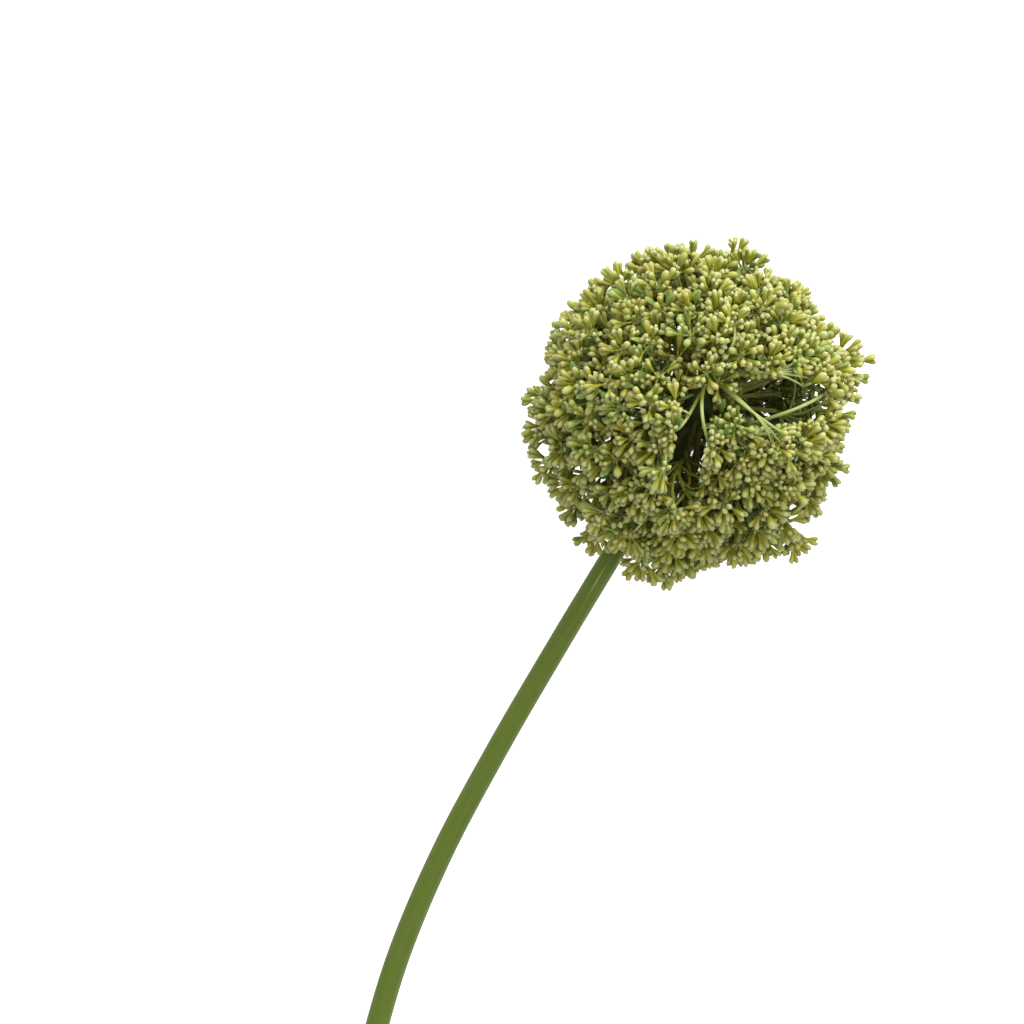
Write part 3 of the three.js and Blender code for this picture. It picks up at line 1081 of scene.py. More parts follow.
    def spread_out(self, places: list[np.ndarray], walls: np.ndarray) -> None:
        """Moves crowded umbels of one spray apart, within its cell.

        Args:
            places: Directions of the umbels, which are changed.
            walls: Inward normals of the cell's walls.
        """
        crowded = math.radians(self.crowded_angle)
        for _ in range(self.spread_rounds):
            for i in range(len(places)):
                for j in range(len(places)):
                    cosine = max(-1.0, min(1.0, float(places[i] @ places[j])))
                    short = crowded - math.acos(cosine)
                    if i != j and short > 0:
                        apart = unit(places[i] - places[j])
                        places[i] = unit(places[i] + apart * short / 2)
                surface = self.into_cell(places[i] * self.radius, walls, self.umbel_wall_margin)
                places[i] = unit(surface)

    def settled(self, points: np.ndarray, walls: np.ndarray, direction: np.ndarray) -> np.ndarray:
        """Puts a spray's points, given from the centre, in their final places.

        Args:
            points: One place in each row.
            walls: Inward normals of the spray's cell.
            direction: The spray's direction.

        Returns:
            The final places in the part's frame.
        """
        placed = self.clear_of_stem(self.into_cell(points, walls, self.cell_clearance))
        if math.degrees(math.acos(float(direction @ self.to_stem))) < self.near_stem_angle:
            beside = unit(direction - (direction @ self.to_stem) * self.to_stem)
            clearance = self.stem_radius + self.stem_clearance
            placed = self.into_cell(placed, beside[None], clearance)
        placed = placed + self.middle
        placed[..., 2] = np.maximum(placed[..., 2], self.lowest_point)
        return placed

    def in_the_clear(self, point: np.ndarray, room: float) -> np.ndarray:
        """Moves a point of the part's frame out of all channels.

        Args:
            point: The point.
            room: Distance that it keeps from their walls.

        Returns:
            The moved point.
        """
        place = point[None] - self.middle
        for channel in self.channels:
            place = channel.cleared(place, room)
        return place[0] + self.middle

    def sunk(self, points: np.ndarray) -> np.ndarray:
        """Measures how far under the ball's surface points of the part's frame are."""
        return self.radius - np.linalg.norm(points - self.middle, axis=-1)

    def stalk_depth(self, points: np.ndarray) -> np.ndarray:
        """Says how deep in the ball's shade a stalk lies.

        Args:
            points: Places on the stalk in the part's frame, one in each row.

        Returns:
            The depth at each place, from 0 at the surface to 1 at the middle.
        """
        depth = self.sunk(points) / self.shade_reach
        for channel in self.channels:
            away = np.linalg.norm(channel.aside(points - self.middle), axis=1)
            inside = np.clip(2 - away / channel.half_width, 0, 1) * (depth > self.gloom_from)
            depth = depth + channel.gloom * inside
        return np.clip(depth, 0, 1)

    def grow(self) -> list[Spray]:
        """Grows all sprays, in their order."""
        directions = self.spray_directions()
        return [Growth(self, directions, index).grown() for index in range(self.spray_count)]


class Growth:
    """One spray while it grows: its cell, its ray, and the umbels that it has so far."""

    def __init__(self, head: Head, directions: np.ndarray, index: int) -> None:
        """Finds the spray's cell, and grows its ray.

        Args:
            head: The rule that the spray follows.
            directions: The directions of all sprays.
            index: Number of the spray.
        """
        chance = Chance(head.spray_seed + 1 + index)
        self.head, self.directions, self.index = head, directions, index
        self.direction = directions[index]
        self.walls = head.cell_walls(directions, index)
        places = head.umbel_places(self.direction, self.walls, chance)
        self.turns, self.places, self.reaches = places
        bow = head.sides_of(self.direction)[0] * head.ray_bow * (chance.draw() - 0.5)
        start = self.direction * (head.knob_radius - head.root_depth)
        fork = self.direction * head.fork_radius
        bent = np.array([start, (start + fork) / 2 + bow, fork])
        self.ray = head.settled(bent, self.walls, self.direction)
        self.forward = self.ray[2] - self.ray[1]
        self.draw = np.random.default_rng(head.spray_seed + index)
        self.umbels: list[Umbel] = []

    def grown(self) -> Spray:
        """Grows all umbels.

        Returns:
            The finished spray.
        """
        for place, reach in zip(self.places, self.reaches):
            self.add(self.head.outer, place, reach, self.ray[2], self.forward)
        self.grow_lower()
        self.grow_middlemost()
        self.grow_inner()
        self.grow_boughs()
        self.grow_strays()
        return Spray(self.index, self.ray, self.umbels)

    def add(
        self,
        kind: UmbelKind,
        place: np.ndarray,
        reach: float,
        root: np.ndarray,
        lead: np.ndarray,
        bowed: bool = False,
    ) -> None:
        """Adds an umbel on its stalk.

        Args:
            kind: The umbel's kind.
            place: Its direction from the head's centre.
            reach: How far from there its florets reach.
            root: Where its stalk starts.
            lead: The stalk's heading there, or for a bough the way to the top of its arch.
            bowed: Whether the stalk is a bough.
        """
        head = self.head
        knot = place * (reach - head.umbel_depth)
        if bowed:
            knot = head.clear_of_stem(knot) + head.middle
        else:
            settled = head.settled(knot, self.walls, self.direction)
            knot = head.in_the_clear(settled, head.knot_room)
        length = float(np.linalg.norm(knot - root))
        wander = self.draw.normal(0, head.stalk_jitter, 3) * length
        control = root + unit(lead) * length * head.stalk_bend + wander
        control = head.in_the_clear(control, head.stalk_room)
        if bowed:
            control = 2 * (root + lead) - (root + knot) / 2
        outward, onward = unit(knot - head.middle), unit(knot - control)
        axis = unit(outward * head.outward_lean + onward * head.stalk_lean)
        count = int(self.draw.integers(kind.florets[0], kind.florets[1] + 1))
        self.umbels.append(Umbel(knot, axis, np.array([root, control, knot]), kind, count, bowed))

    def under_cover(self, kind: UmbelKind, place: np.ndarray) -> float:
        """Draws how far the florets of an umbel under the ball's cover reach."""
        return self.head.reach_of(place) - self.draw.uniform(*kind.drop)

    def grow_lower(self) -> None:
        """Adds an umbel between each two outer ones, on a branch of the first one's stalk."""
        head, kind, hosts = self.head, self.head.lower, list(self.umbels)
        for i, host in enumerate(hosts):
            after = (i + 1) % len(hosts)
            turn = (self.turns[i] + self.turns[after] + (FULL_TURN if after == 0 else 0)) / 2
            room = head.room_towards(self.direction, turn, self.walls)
            aside = head.across(self.direction, turn) * room * head.lower_share
            place = head.clear_of_gaps(unit(self.direction * head.radius + aside), kind.margin)
            share = self.draw.uniform(*head.lower_root)
            root, lead = on_curve(host.stalk, share), curve_heading(host.stalk, share)
            self.add(kind, place, self.under_cover(kind, place), root, lead)

    def grow_middlemost(self) -> None:
        """Adds the umbel straight over the ray."""
        kind = self.head.middlemost
        place = self.head.clear_of_gaps(self.direction, kind.margin)
        self.add(kind, place, self.under_cover(kind, place), self.ray[2], self.forward)

    def grow_inner(self) -> None:
        """Adds the umbels that fill the ball behind its cover."""
        head, kind, draw = self.head, self.head.inner, self.draw
        for turn in self.turns:
            around = turn + draw.uniform(-head.inner_turn, head.inner_turn)
            room = head.room_towards(self.direction, around, self.walls)
            aside = head.across(self.direction, around) * (room * draw.uniform(*head.inner_share))
            place = head.clear_of_gaps(unit(self.direction * head.radius + aside), kind.margin)
            reach = self.under_cover(kind, place)
            wander = draw.normal(0, head.inner_jitter, 3) * np.linalg.norm(self.forward)
            self.add(kind, place, reach, self.ray[2], self.forward + wander)

    def owns(self, way: np.ndarray) -> bool:
        """Says whether this spray is the one that points most along a way."""
        return int(np.argmax(self.directions @ way)) == self.index

    def grow_boughs(self) -> None:
        """Adds the boughs that arch away from this spray."""
        head = self.head
        for bough in head.boughs:
            over, end = head.upper_side(bough.over[:2]), head.upper_side(bough.end[:2])
            if self.owns(2 * over - end):
                reach = head.reach_of(end) - bough.end[2] + head.umbel_depth
                top = over * (head.reach_of(over) - bough.over[2])
                lead = head.clear_of_stem(top) + head.middle - self.ray[2]
                radii = (bough.radius, bough.radius * head.bough_taper)
                kind = UmbelKind(radii, (bough.florets, bough.florets), head.bough_spread)
                self.add(kind, end, reach, self.ray[2], lead, bowed=True)

    def grow_strays(self) -> None:
        """Adds the strays nearest to this spray, each on the stalk of the umbel nearest to it."""
        head = self.head
        for stray in head.strays:
            place = stray.direction()
            if self.owns(place):
                hosts = self.umbels[: head.stray_hosts]
                nearness = [unit(host.knot - head.middle) @ place for host in hosts]
                start, control, end = hosts[int(np.argmax(nearness))].stalk
                root = control * 0.5 + (start + end) * 0.25
                kind = UmbelKind(head.lower.radii, (stray.florets, stray.florets), head.stray_spread)
                self.add(kind, place, head.reach_of(place) + stray.extra, root, end - control)


# -------------------------------------------------------------------------------- the florets


class SprayFinish(IntEnum):
    """Numbers of the materials on a spray."""

    FLORET = 0
    STALK = 1
    LEAFLET = 2


@dataclass
class Florets:
    """All florets and leaflets of the head, spread so that they lie beside each other.

    Attributes:
        head: The head that they are on.
        pedicel: Shortest and longest pedicel.
        pedicel_radii: A pedicel's radius at the knot, and that at the foot of a floret of size 1.
        pedicel_lean: Shares in which a pedicel starts out towards its floret and along the axis.
        size: Smallest and largest size, as a share of the modelled one.
        first_share: How far out on its umbel the first floret is, in steps between florets.
        tilt_range: Least and most of its own tilt that a floret gets.
        lobe_odds: How likely a floret has one, two or three lobes.
        leaflet_share: Share of umbels' outer places that hold a leaflet.
        body: Distance from a floret's foot to the middle of its head.
        girth: Room that a floret's head takes up, as a radius.
        rounds: How often the florets are moved apart.
        push_share: Share of an overlap that each floret gives way in one round.
        lowest: Height over the table that a floret's head keeps.
        lowest_corner: Height over the table that every corner keeps.
        shade_body: Distance from a floret's foot to where its shade is measured.
        shade_reach: Depth in the ball at which a floret is in full shade.
        seed: Start of the random draws.
    """

    head: Head
    pedicel: tuple[float, float] = (2.0, 3.6)
    pedicel_radii: tuple[float, float] = (0.32, 0.35)
    pedicel_lean: tuple[float, float] = (0.6, 0.4)
    size: tuple[float, float] = (0.94, 1.24)
    first_share: float = 0.35
    tilt_range: tuple[float, float] = (0.9, 1.08)
    lobe_odds: tuple[float, float, float] = (0.1, 0.45, 0.45)
    leaflet_share: float = 0.075
    body: float = 4.3
    girth: float = 1.62
    rounds: int = 24
    push_share: float = 0.42
    lowest: float = 1.3
    lowest_corner: float = 0.02
    shade_body: float = 3.0
    shade_reach: float = 22.0
    seed: int = 7

    def sprout(self, sprays: Sequence[Spray]) -> None:
        """Sets florets on every umbel and then moves them apart.

        Args:
            sprays: The sprays that carry them.
        """
        draw = np.random.default_rng(self.seed)
        rows = []
        for spray in sprays:
            for umbel in spray.umbels:
                right, over = self.head.sides_of(umbel.axis)
                start, tone = draw.uniform(0, FULL_TURN), draw.uniform()
                for i in range(umbel.florets):
                    share = math.sqrt((i + self.first_share) / umbel.florets)
                    spread = math.radians(umbel.kind.spread)
                    tilt = spread * share * draw.uniform(*self.tilt_range)
                    turn = start + i * GOLDEN_ANGLE
                    aside = right * math.cos(turn) + over * math.sin(turn)
                    heading = umbel.axis * math.cos(tilt) + aside * math.sin(tilt)
                    leaf = i > 1 and draw.uniform() < self.leaflet_share
                    lobes = draw.choice([1, 2, 3], p=self.lobe_odds)
                    kind = FloretKind.LEAFLET.value if leaf else int(lobes)
                    made = draw.uniform(*self.pedicel), draw.uniform(*self.size), kind, tone
                    rows.append((umbel.knot, umbel.axis, heading, *made, spray.index))
        columns = [np.array(column) for column in zip(*rows)]
        self.knots, self.axes, self.headings, self.pedicels, self.sizes = columns[:5]
        self.kinds, self.tones, self.sprays = columns[5:]
        self.spins = draw.uniform(0, FULL_TURN, len(rows))
        self.chances = draw.uniform(size=len(rows))
        self.spread_out()

    def spread_out(self) -> None:
        """Moves the florets apart, out of the channels and off the table, on their pedicels."""
        head = self.head
        arms = self.pedicels + self.body * self.sizes
        radii = self.girth * self.sizes
        for _ in range(self.rounds):
            places = self.knots + self.headings * arms[:, None]
            places += self.pushes(places, radii)
            for channel in head.channels:
                places = channel.cleared(places - head.middle, radii) + head.middle
            along = ((places - head.middle) @ head.to_stem)[:, None] * head.to_stem
            aside = places - head.middle - along
            distance = np.linalg.norm(aside, axis=1, keepdims=True)
            short = np.maximum(head.stem_radius + radii[:, None] - distance, 0)
            places = places + unit(aside) * short
            places[:, 2] = np.maximum(places[:, 2], self.lowest * self.sizes)
            self.headings = unit(places - self.knots)
        self.headings = unit(self.headings)

    def pushes(self, places: np.ndarray, radii: np.ndarray) -> np.ndarray:
        """Works out how florets push each other away.

        Args:
            places: The middles of their heads, one in each row.
            radii: Room that each takes up.

        Returns:
            The way that each is pushed.
        """
        tree = KDTree(len(places))
        for i, place in enumerate(places):
            tree.insert(place, i)
        tree.balance()
        push = np.zeros_like(places)
        widest = 2 * radii.max()
        for i, place in enumerate(places):
            for _, j, distance in tree.find_range(place, widest):
                near = radii[i] + radii[j] - distance
                if j != i and near > 0 and distance > 1e-6:
                    push[i] += (place - places[j]) / distance * near * self.push_share
        return push

    def drawn(self, skin: Skin, spray: int, shapes: dict[int, Template], pedicel: Template) -> int:
        """Adds one spray's florets, each on its pedicel, to its mesh.

        Args:
            skin: The spray's mesh.
            spray: Number of the spray.
            shapes: Florets' and leaflet's shapes by number of lobes.
            pedicel: A straight tube.

        Returns:
            How many were added.
        """
        own = np.flatnonzero(self.sprays == spray)
        ahead, on_axis = self.pedicel_lean
        thin, thick = self.pedicel_radii
        for i in own:
            heading, knot, size = self.headings[i], self.knots[i], self.sizes[i]
            foot = knot + heading * self.pedicels[i]
            lead = knot + unit(heading * ahead + self.axes[i] * on_axis) * self.pedicels[i] * 0.5
            leaf = self.kinds[i] == FloretKind.LEAFLET.value
            right, over = self.facing(i) if leaf else self.turned(i)
            shape = shapes[int(self.kinds[i])]
            x, y, z = (shape.points[:, k : k + 1] * size for k in range(3))
            places = foot + right * x + over * y + heading * z
            places[:, 2] = np.maximum(places[:, 2], self.lowest_corner)
            inward = self.head.sunk(foot + heading * self.shade_body)
            depth = np.clip(inward / self.shade_reach, 0, 1)
            values = {"chance": self.chances[i], "tone": self.tones[i], "depth": depth}
            finish = SprayFinish.LEAFLET if leaf else SprayFinish.FLORET
            skin.add(shape, places, finish, **values)
            tube = laid_along(pedicel, np.array([knot, lead, foot]), (thin, thick * size))
            skin.add(pedicel, tube, SprayFinish.STALK, **values)
        return len(own)

    def turned(self, i: int) -> tuple[np.ndarray, np.ndarray]:
        """Finds the way that a floret stands round its own axis.

        Args:
            i: The floret's number.

        Returns:
            Two directions across it, turned by its own spin.
        """
        right, over = self.head.sides_of(self.headings[i])
        cosine, sine = math.cos(self.spins[i]), math.sin(self.spins[i])
        return right * cosine + over * sine, over * cosine - right * sine

    def facing(self, i: int) -> tuple[np.ndarray, np.ndarray]:
        """Returns two directions across a leaflet, the second towards the umbel's axis."""
        right = unit(np.cross(self.axes[i], self.headings[i]) + 1e-6)
        return right, np.cross(self.headings[i], right)


@dataclass
class SprayMaker:
    """Builds each spray's piece in place of its solid.

    Attributes:
        florets: The florets of the whole head.
        pedicel_tube: The tube of a pedicel.
        ray_tube: That of a ray, which is widest at its two ends.
        stalk_tube: That of a stalk, with the small knob at its end that the pedicels stand on.
        bough_tube: That of a bough, with more rings for its arch.
        ray_thickness: A ray's thickness, as a share of its width.
        leafy_umbels: How many of a spray's umbels have a leaf on their stalk.
        leaf_size: Smallest and largest size of those leaves, as a share of a leaflet.
        leaf_place: First and last place of a leaf along its stalk, as a share.
        leaf_tilt: Smallest and largest angle between a leaf and its stalk, in degrees.
        leaf_lowest: Height over the table that a leaf keeps.
        leaf_shade: Depth in the ball at which a leaf is in full shade.
        seed: Start of the random draws.
    """

    florets: Florets
    pedicel_tube: TubeModel = TubeModel(5, ((0, 1), (0.5, 0.92), (1, 1)))
    ray_tube: TubeModel = TubeModel(8, ((0, 1.25), (0.12, 1), (0.4, 0.94), (0.7, 0.97), (1, 1.12)))
    stalk_tube: TubeModel = TubeModel(
        6,
        ((0, 1.1), (0.2, 1), (0.45, 1), (0.7, 1), (0.9, 1.05), (0.97, 1.7), (1, 1.6), (1.03, 0.9)),
    )
    bough_tube: TubeModel = TubeModel(8, (*((i / 14, 1) for i in range(14)), (1, 1.3)))
    ray_thickness: float = 0.72
    leafy_umbels: int = 9
    leaf_size: tuple[float, float] = (1.2, 1.9)
    leaf_place: tuple[float, float] = (0.35, 0.92)
    leaf_tilt: tuple[float, float] = (28.0, 62.0)
    leaf_lowest: float = 0.3
    leaf_shade: float = 26.0
    seed: int = 23

    def __post_init__(self) -> None:
        """Models every shape once."""
        floret = FloretModel()
        self.shapes = {kind.value: floret.model(kind) for kind in FloretKind if kind.value}
        self.shapes[FloretKind.LEAFLET.value] = LeafletModel().model()
        self.pedicel = self.pedicel_tube.model()
        self.ray = self.ray_tube.model()
        self.stalk = self.stalk_tube.model()
        self.bough = self.bough_tube.model()

    def build(self, spray: Spray, materials: Sequence[bpy.types.Material]) -> bpy.types.Object:
        """Builds one spray.

        Args:
            spray: The spray.
            materials: Its materials, in the order of their numbers.

        Returns:
            The spray's piece.
        """
        skin = Skin()
        head = self.florets.head
        tube = laid_along(self.ray, spray.ray, head.ray_radii, flat=self.ray_thickness)
        skin.add(self.ray, tube, SprayFinish.STALK, depth=head.stalk_depth(tube))
        for umbel in spray.umbels:
            template = self.bough if umbel.bowed else self.stalk
            tube = laid_along(template, umbel.stalk, umbel.kind.radii)
            skin.add(template, tube, SprayFinish.STALK, depth=head.stalk_depth(tube))
        self.leaves(skin, spray)
        count = self.florets.drawn(skin, spray.index, self.shapes, self.pedicel)
        piece = skin.piece(f"spray_piece_{spray.index + 1:02d}", materials)
        node = f"spray_{spray.index + 1:02d}"
        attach(piece, "root")
        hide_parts(node)
        log.info("%s: %d umbels, %d florets and leaflets", node, len(spray.umbels), count)
        return piece

    def leaves(self, skin: Skin, spray: Spray) -> None:
        """Adds the leaves that stand on the stalks inside the ball, darkened there by painted shade.

        Args:
            skin: The spray's mesh.
            spray: The spray.
        """
        draw = np.random.default_rng(self.seed + spray.index)
        head = self.florets.head
        leaf = self.shapes[FloretKind.LEAFLET.value]
        for umbel in spray.umbels[: self.leafy_umbels]:
            t = draw.uniform(*self.leaf_place)
            foot = on_curve(umbel.stalk, t)
            along = unit(curve_heading(umbel.stalk, t))
            aside = head.across(along, draw.uniform(0, FULL_TURN))
            tilt = math.radians(draw.uniform(*self.leaf_tilt))
            heading = along * math.cos(tilt) + aside * math.sin(tilt)
            right = unit(np.cross(along, heading))
            over = np.cross(heading, right)
            x, y, z = (leaf.points[:, k : k + 1] * draw.uniform(*self.leaf_size) for k in range(3))
            places = foot + right * x + over * y + heading * z
            places[:, 2] = np.maximum(places[:, 2], self.leaf_lowest)
            depth = np.clip(head.sunk(places.mean(0)) / self.leaf_shade, 0, 1)
            skin.add(leaf, places, SprayFinish.LEAFLET, depth=depth, chance=draw.uniform())


# ----------------------------------------------------------------------------------- the stem


@dataclass
class Stem:
    """The long, gently curved flower stem with its cut end and the swollen knob at its top.

    Attributes:
        head: The head that it carries.
        route: Points that it runs through, given from the head's centre in plan, and from the table
            in height.
        route_steps: Points on the curve between each two of them.
        stations: Evenly spaced points that the curve is then given by.
        radius_at_head: Its radius at the head.
        radius_at_cut: Its radius at the cut end.
        cut_rings: Height over the cut end, and radius as a share of the stem's, of each ring from
            the hollowed middle of the cut face to its rounded edge.
        neck: How far the stem's last ring stays under the knob.
        knob_turns: Angles of the knob's rings from its top, in degrees.
        sides: Corners round it.
        steps: Rings along it.
        rib: Depth of its faint lengthwise ribs.
        ribs: Number of the ribs.
        rib_end: How far from the head's centre the ribs end.
        skin_from: Share of the stem's radius outside which a corner is on its skin.
        skin_fade: Distance over which the ribs get their full depth from there.
        shaded: How far from the head's centre the ball's shade reaches.
        seam_highlight_place: How far from the head's centre the middle of the pale line along the
            stem's top is, a seam that is partly a painted highlight.
        seam_highlight_reach: How far that line reaches from there to either side.
        seam_highlight_width: Half the line's width, as an angle round the stem in radians.
        fibre_length: Length over which a fibre's pattern changes, for each unit of the pattern.
        edge_angle: Angle over which an edge stays sharp, in degrees.
    """

    head: Head
    route: Sequence[tuple[float, float, float]] = (
        (0, 0, 58.3), (-3.4, -48, 47.9), (-8, -98, 37.5), (-11.9, -148, 26.8), (-13.7, -195, 17.3),
        (-11.3, -240, 9.7), (-4.5, -279, 5.4), (0, -294, 4.57),
    )
    route_steps: int = 40
    stations: int = 400
    radius_at_head: float = 3.85
    radius_at_cut: float = 4.6
    cut_rings: Sequence[tuple[float, float]] = (
        (0.5, 0.3), (0.34, 0.6), (0.12, 0.84), (0.0, 0.93), (0.3, 1.0),
    )
    neck: float = 2.0
    knob_turns: Sequence[float] = tuple(140 - 15.5 * i for i in range(9))
    sides: int = 40
    steps: int = 96
    rib: float = 0.05
    ribs: int = 7
    rib_end: float = 12.0
    skin_from: float = 0.9
    skin_fade: float = 0.4
    shaded: float = 60.0
    seam_highlight_place: float = 74.0
    seam_highlight_reach: float = 14.0
    seam_highlight_width: float = 0.05
    fibre_length: float = 40.0
    edge_angle: float = 50.0

    def line(self) -> np.ndarray:
        """Finds evenly spaced points on the smooth curve through the route.

        Returns:
            One point in each row, from the cut end to the head's centre.
        """
        knots = np.array(self.route, float)[::-1]
        knots[:, :2] += self.head.middle[:2]
        ends = [2 * knots[0] - knots[1], *knots, 2 * knots[-1] - knots[-2]]
        fine = []
        for a, b, c, d in zip(ends, ends[1:], ends[2:], ends[3:]):
            spans = [np.linalg.norm(q - p) ** 0.5 for p, q in ((a, b), (b, c), (c, d))]
            times = np.cumsum([0.0, *spans])
            for t in np.linspace(times[1], times[2], self.route_steps, endpoint=False):
                ab = a + (b - a) * (t - times[0]) / (times[1] - times[0])
                bc = b + (c - b) * (t - times[1]) / (times[2] - times[1])
                cd = c + (d - c) * (t - times[2]) / (times[3] - times[2])
                abc = ab + (bc - ab) * (t - times[0]) / (times[2] - times[0])
                bcd = bc + (cd - bc) * (t - times[1]) / (times[3] - times[1])
                fine.append(abc + (bcd - abc) * (t - times[1]) / (times[2] - times[1]))
        fine = np.array([*fine, knots[-1]])
        length = np.concatenate([[0], np.cumsum(np.linalg.norm(np.diff(fine, axis=0), axis=1))])
        even = np.linspace(0, length[-1], self.stations)
        return interpolated(even, length, fine)

    def rings(self, length: float) -> list[tuple[float, float]]:
        """Lists the rings from the middle of the cut face to the top of the knob.

        Args:
            length: Length of the stem up to the head's centre.

        Returns:
            Distance along the stem and radius of each ring.
        """
        cut, top, knob = self.radius_at_cut, self.radius_at_head, self.head.knob_radius
        rings = [(height, cut * share) for height, share in self.cut_rings]
        first = rings[-1][0]
        waist = length - knob * math.cos(math.asin(top / knob)) - self.neck
        for i in range(1, self.steps + 1):
            share = i / self.steps
            rings.append((first + (waist - first) * share, cut + (top - cut) * share))
        for turn in self.knob_turns:
            angle = math.radians(turn)
            rings.append((length - knob * math.cos(math.pi - angle), knob * math.sin(angle)))
        return rings

    def straight(self, length: float) -> Template:
        """Models the stem as if it were straight, from the cut face to the top of the knob.

        Args:
            length: Length of the stem up to the head's centre.

        Returns:
            The straight stem.
        """
        rings = self.rings(length)
        bench = Bench(self.sides, rings[0][1])
        bench.height = rings[0][0]
        bpy.ops.transform.translate(value=(0, 0, bench.height))
        for height, radius in rings[1:]:
            bench.ring(height, radius)
        return bench.take()

    def bent(self, shape: Template, line: np.ndarray, length: float) -> np.ndarray:
        """Bends the straight stem along its line, with its ribs.

        Args:
            shape: The straight stem.
            line: Evenly spaced points, one in each row.
            length: The line's length.

        Returns:
            Places of the stem's corners.
        """
        x, y, s = shape.points.T
        turn, radius = np.arctan2(y, x), np.hypot(x, y)
        # Corners on the skin get the ribs, and those within the cut face don't.
        skin = np.clip((radius - self.radius_at_head * self.skin_from) / self.skin_fade, 0, 1)
        radius = radius + self.rib * np.cos(self.ribs * turn) * skin * (s < length - self.rib_end)
        even = np.linspace(0, length, len(line))
        ways = unit(interpolated(s, even, unit(np.gradient(line, axis=0))))
        beyond = (np.maximum(s - length, 0) + np.minimum(s, 0))[:, None]
        centre = interpolated(s, even, line) + ways * beyond
        right = unit(np.cross(ways, UP))
        over = np.cross(right, ways)
        around = right * np.cos(turn)[:, None] + over * np.sin(turn)[:, None]
        places = centre + around * radius[:, None]
        places[:, 2] = np.maximum(places[:, 2], 0.0)
        return places

    def build(self, material: bpy.types.Material) -> bpy.types.Object:
        """Builds the stem.

        Args:
            material: Its material.

        Returns:
            The stem's piece.
        """
        line = self.line()
        length = float(np.linalg.norm(np.diff(line, axis=0), axis=1).sum())
        shape = self.straight(length)
        x, y, s = shape.points.T
        turn = np.arctan2(y, x)
        skin = Skin()
        depth = np.clip((s - length + self.shaded) / self.shaded, 0, 1)
        skin.add(shape, self.bent(shape, line, length), 0, depth=depth)
        piece = skin.piece("stem_piece", [material])
        fibre = np.stack([np.cos(turn), np.sin(turn), s / self.fibre_length], axis=1)
        add_attribute(piece.data, "fibre", fibre)
        within_edge = np.hypot(x, y) < self.radius_at_cut * self.skin_from
        add_attribute(piece.data, "cut", (s < 2 * self.cut_rings[-1][0]) & within_edge)
        # A pale seam line along the stem's top under the head: partly a seam, partly a painted
        # highlight.
        along = np.clip(1 - np.abs(length - self.seam_highlight_place - s) / self.seam_highlight_reach, 0, 1)
        add_attribute(piece.data, "seam_highlight", (np.abs(turn - math.pi / 2) < self.seam_highlight_width) * along)
        bpy.ops.object.select_all(action="DESELECT")
        piece.select_set(True)
        bpy.context.view_layer.objects.active = piece
        bpy.ops.object.shade_smooth_by_angle(angle=math.radians(self.edge_angle))
        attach(piece, "root")
        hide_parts("stem")
        log.info("stem: %.0f mm long", length)
        return piece


# ---------------------------------------------------------------------------------- finishes


@dataclass(frozen=True)
class Finish:
    """What all finishes of the plant share: the shader, and a fine bump of the skin.

    Living plant skin is a thin wax film over wet tissue. Light goes a little way into the tissue and
    comes out green, and the film gives a broad, weak gloss. The skin's own cells are too fine to
    show, so the bumps are drawn as coarse as they need to be.

    Attributes:
        name: The material's name.
        roughness: How matte the skin is.
        grain: Distance between the bumps of the skin, in millimetres.
        bump: Height of those bumps, in millimetres.
        glow: Share of light that goes into the tissue and comes out beside.
        glow_reach: How far red, green and blue light go in the tissue, in shares of glow_scale.
        glow_scale: How far light goes in the tissue, in millimetres.
        ior: Index of refraction of the wax.
        gloss: Strength of its mirror light, where 0.5 is the plain one.
    """

    name: str
    roughness: float
    grain: float
    bump: float
    glow: float
    glow_reach: tuple[float, float, float] = (0.9, 1.0, 0.35)
    glow_scale: float = 1.2
    ior: float = 1.42
    gloss: float = 0.26

    def colour(self, tree: bpy.types.NodeTree) -> bpy.types.NodeSocket:
        """Adds the nodes that give the skin its colour, and returns their output."""
        raise NotImplementedError

    def shifted(
        self,
        tree: bpy.types.NodeTree,
        ground: bpy.types.NodeSocket | tuple,
        colour: str,
        by: bpy.types.NodeSocket | str,
        span: tuple[float, float, float, float],
    ) -> bpy.types.NodeSocket:
        """Turns one colour into another as an amount grows.

        Args:
            tree: The material's tree.
            ground: The colour where the amount is small.
            colour: The colour where it is large, as an sRGB hex value.
            by: The amount, or the name of the attribute that holds it.
            span: The amount's low and high end, and how much of the colour there is at each.

        Returns:
            The mixed colour.
        """
        if isinstance(by, str):
            by = add_node(tree, "ShaderNodeAttribute", attribute_name=by).outputs["Fac"]
        share = add_node(
            tree,
            "ShaderNodeMapRange",
            {0: by, 1: span[0], 2: span[1], 3: span[2], 4: span[3]},
            interpolation_type="SMOOTHSTEP",
        )
        mix = {0: share.outputs[0], 6: ground, 7: linear(colour)}
        return add_node(tree, "ShaderNodeMix", mix, data_type="RGBA").outputs[2]

    def material(self) -> bpy.types.Material:
        """Makes the material.

        Returns:
            The material.
        """
        material = bpy.data.materials.new(self.name)
        tree = bare_tree(material)
        place = add_node(tree, "ShaderNodeTexCoord").outputs["Object"]
        bumps = add_node(
            tree,
            "ShaderNodeTexNoise",
            {"Vector": place, "Scale": 1 / (self.grain * MM), "Detail": 2.0, "Roughness": 0.55},
        )
        skin = add_node(
            tree,
            "ShaderNodeBump",
            {"Height": bumps.outputs[0], "Distance": self.bump * MM, "Strength": 0.8},
        )
        shader = add_node(
            tree,
            "ShaderNodeBsdfPrincipled",
            {
                "Base Color": self.colour(tree),
                "Roughness": self.roughness,
                "IOR": self.ior,
                "Specular IOR Level": self.gloss,
                "Normal": skin.outputs[0],
                "Subsurface Weight": self.glow,
                "Subsurface Radius": self.glow_reach,
                "Subsurface Scale": self.glow_scale * MM,
            },
        )
        add_node(tree, "ShaderNodeOutputMaterial", {"Surface": shader.outputs[0]})
        return material


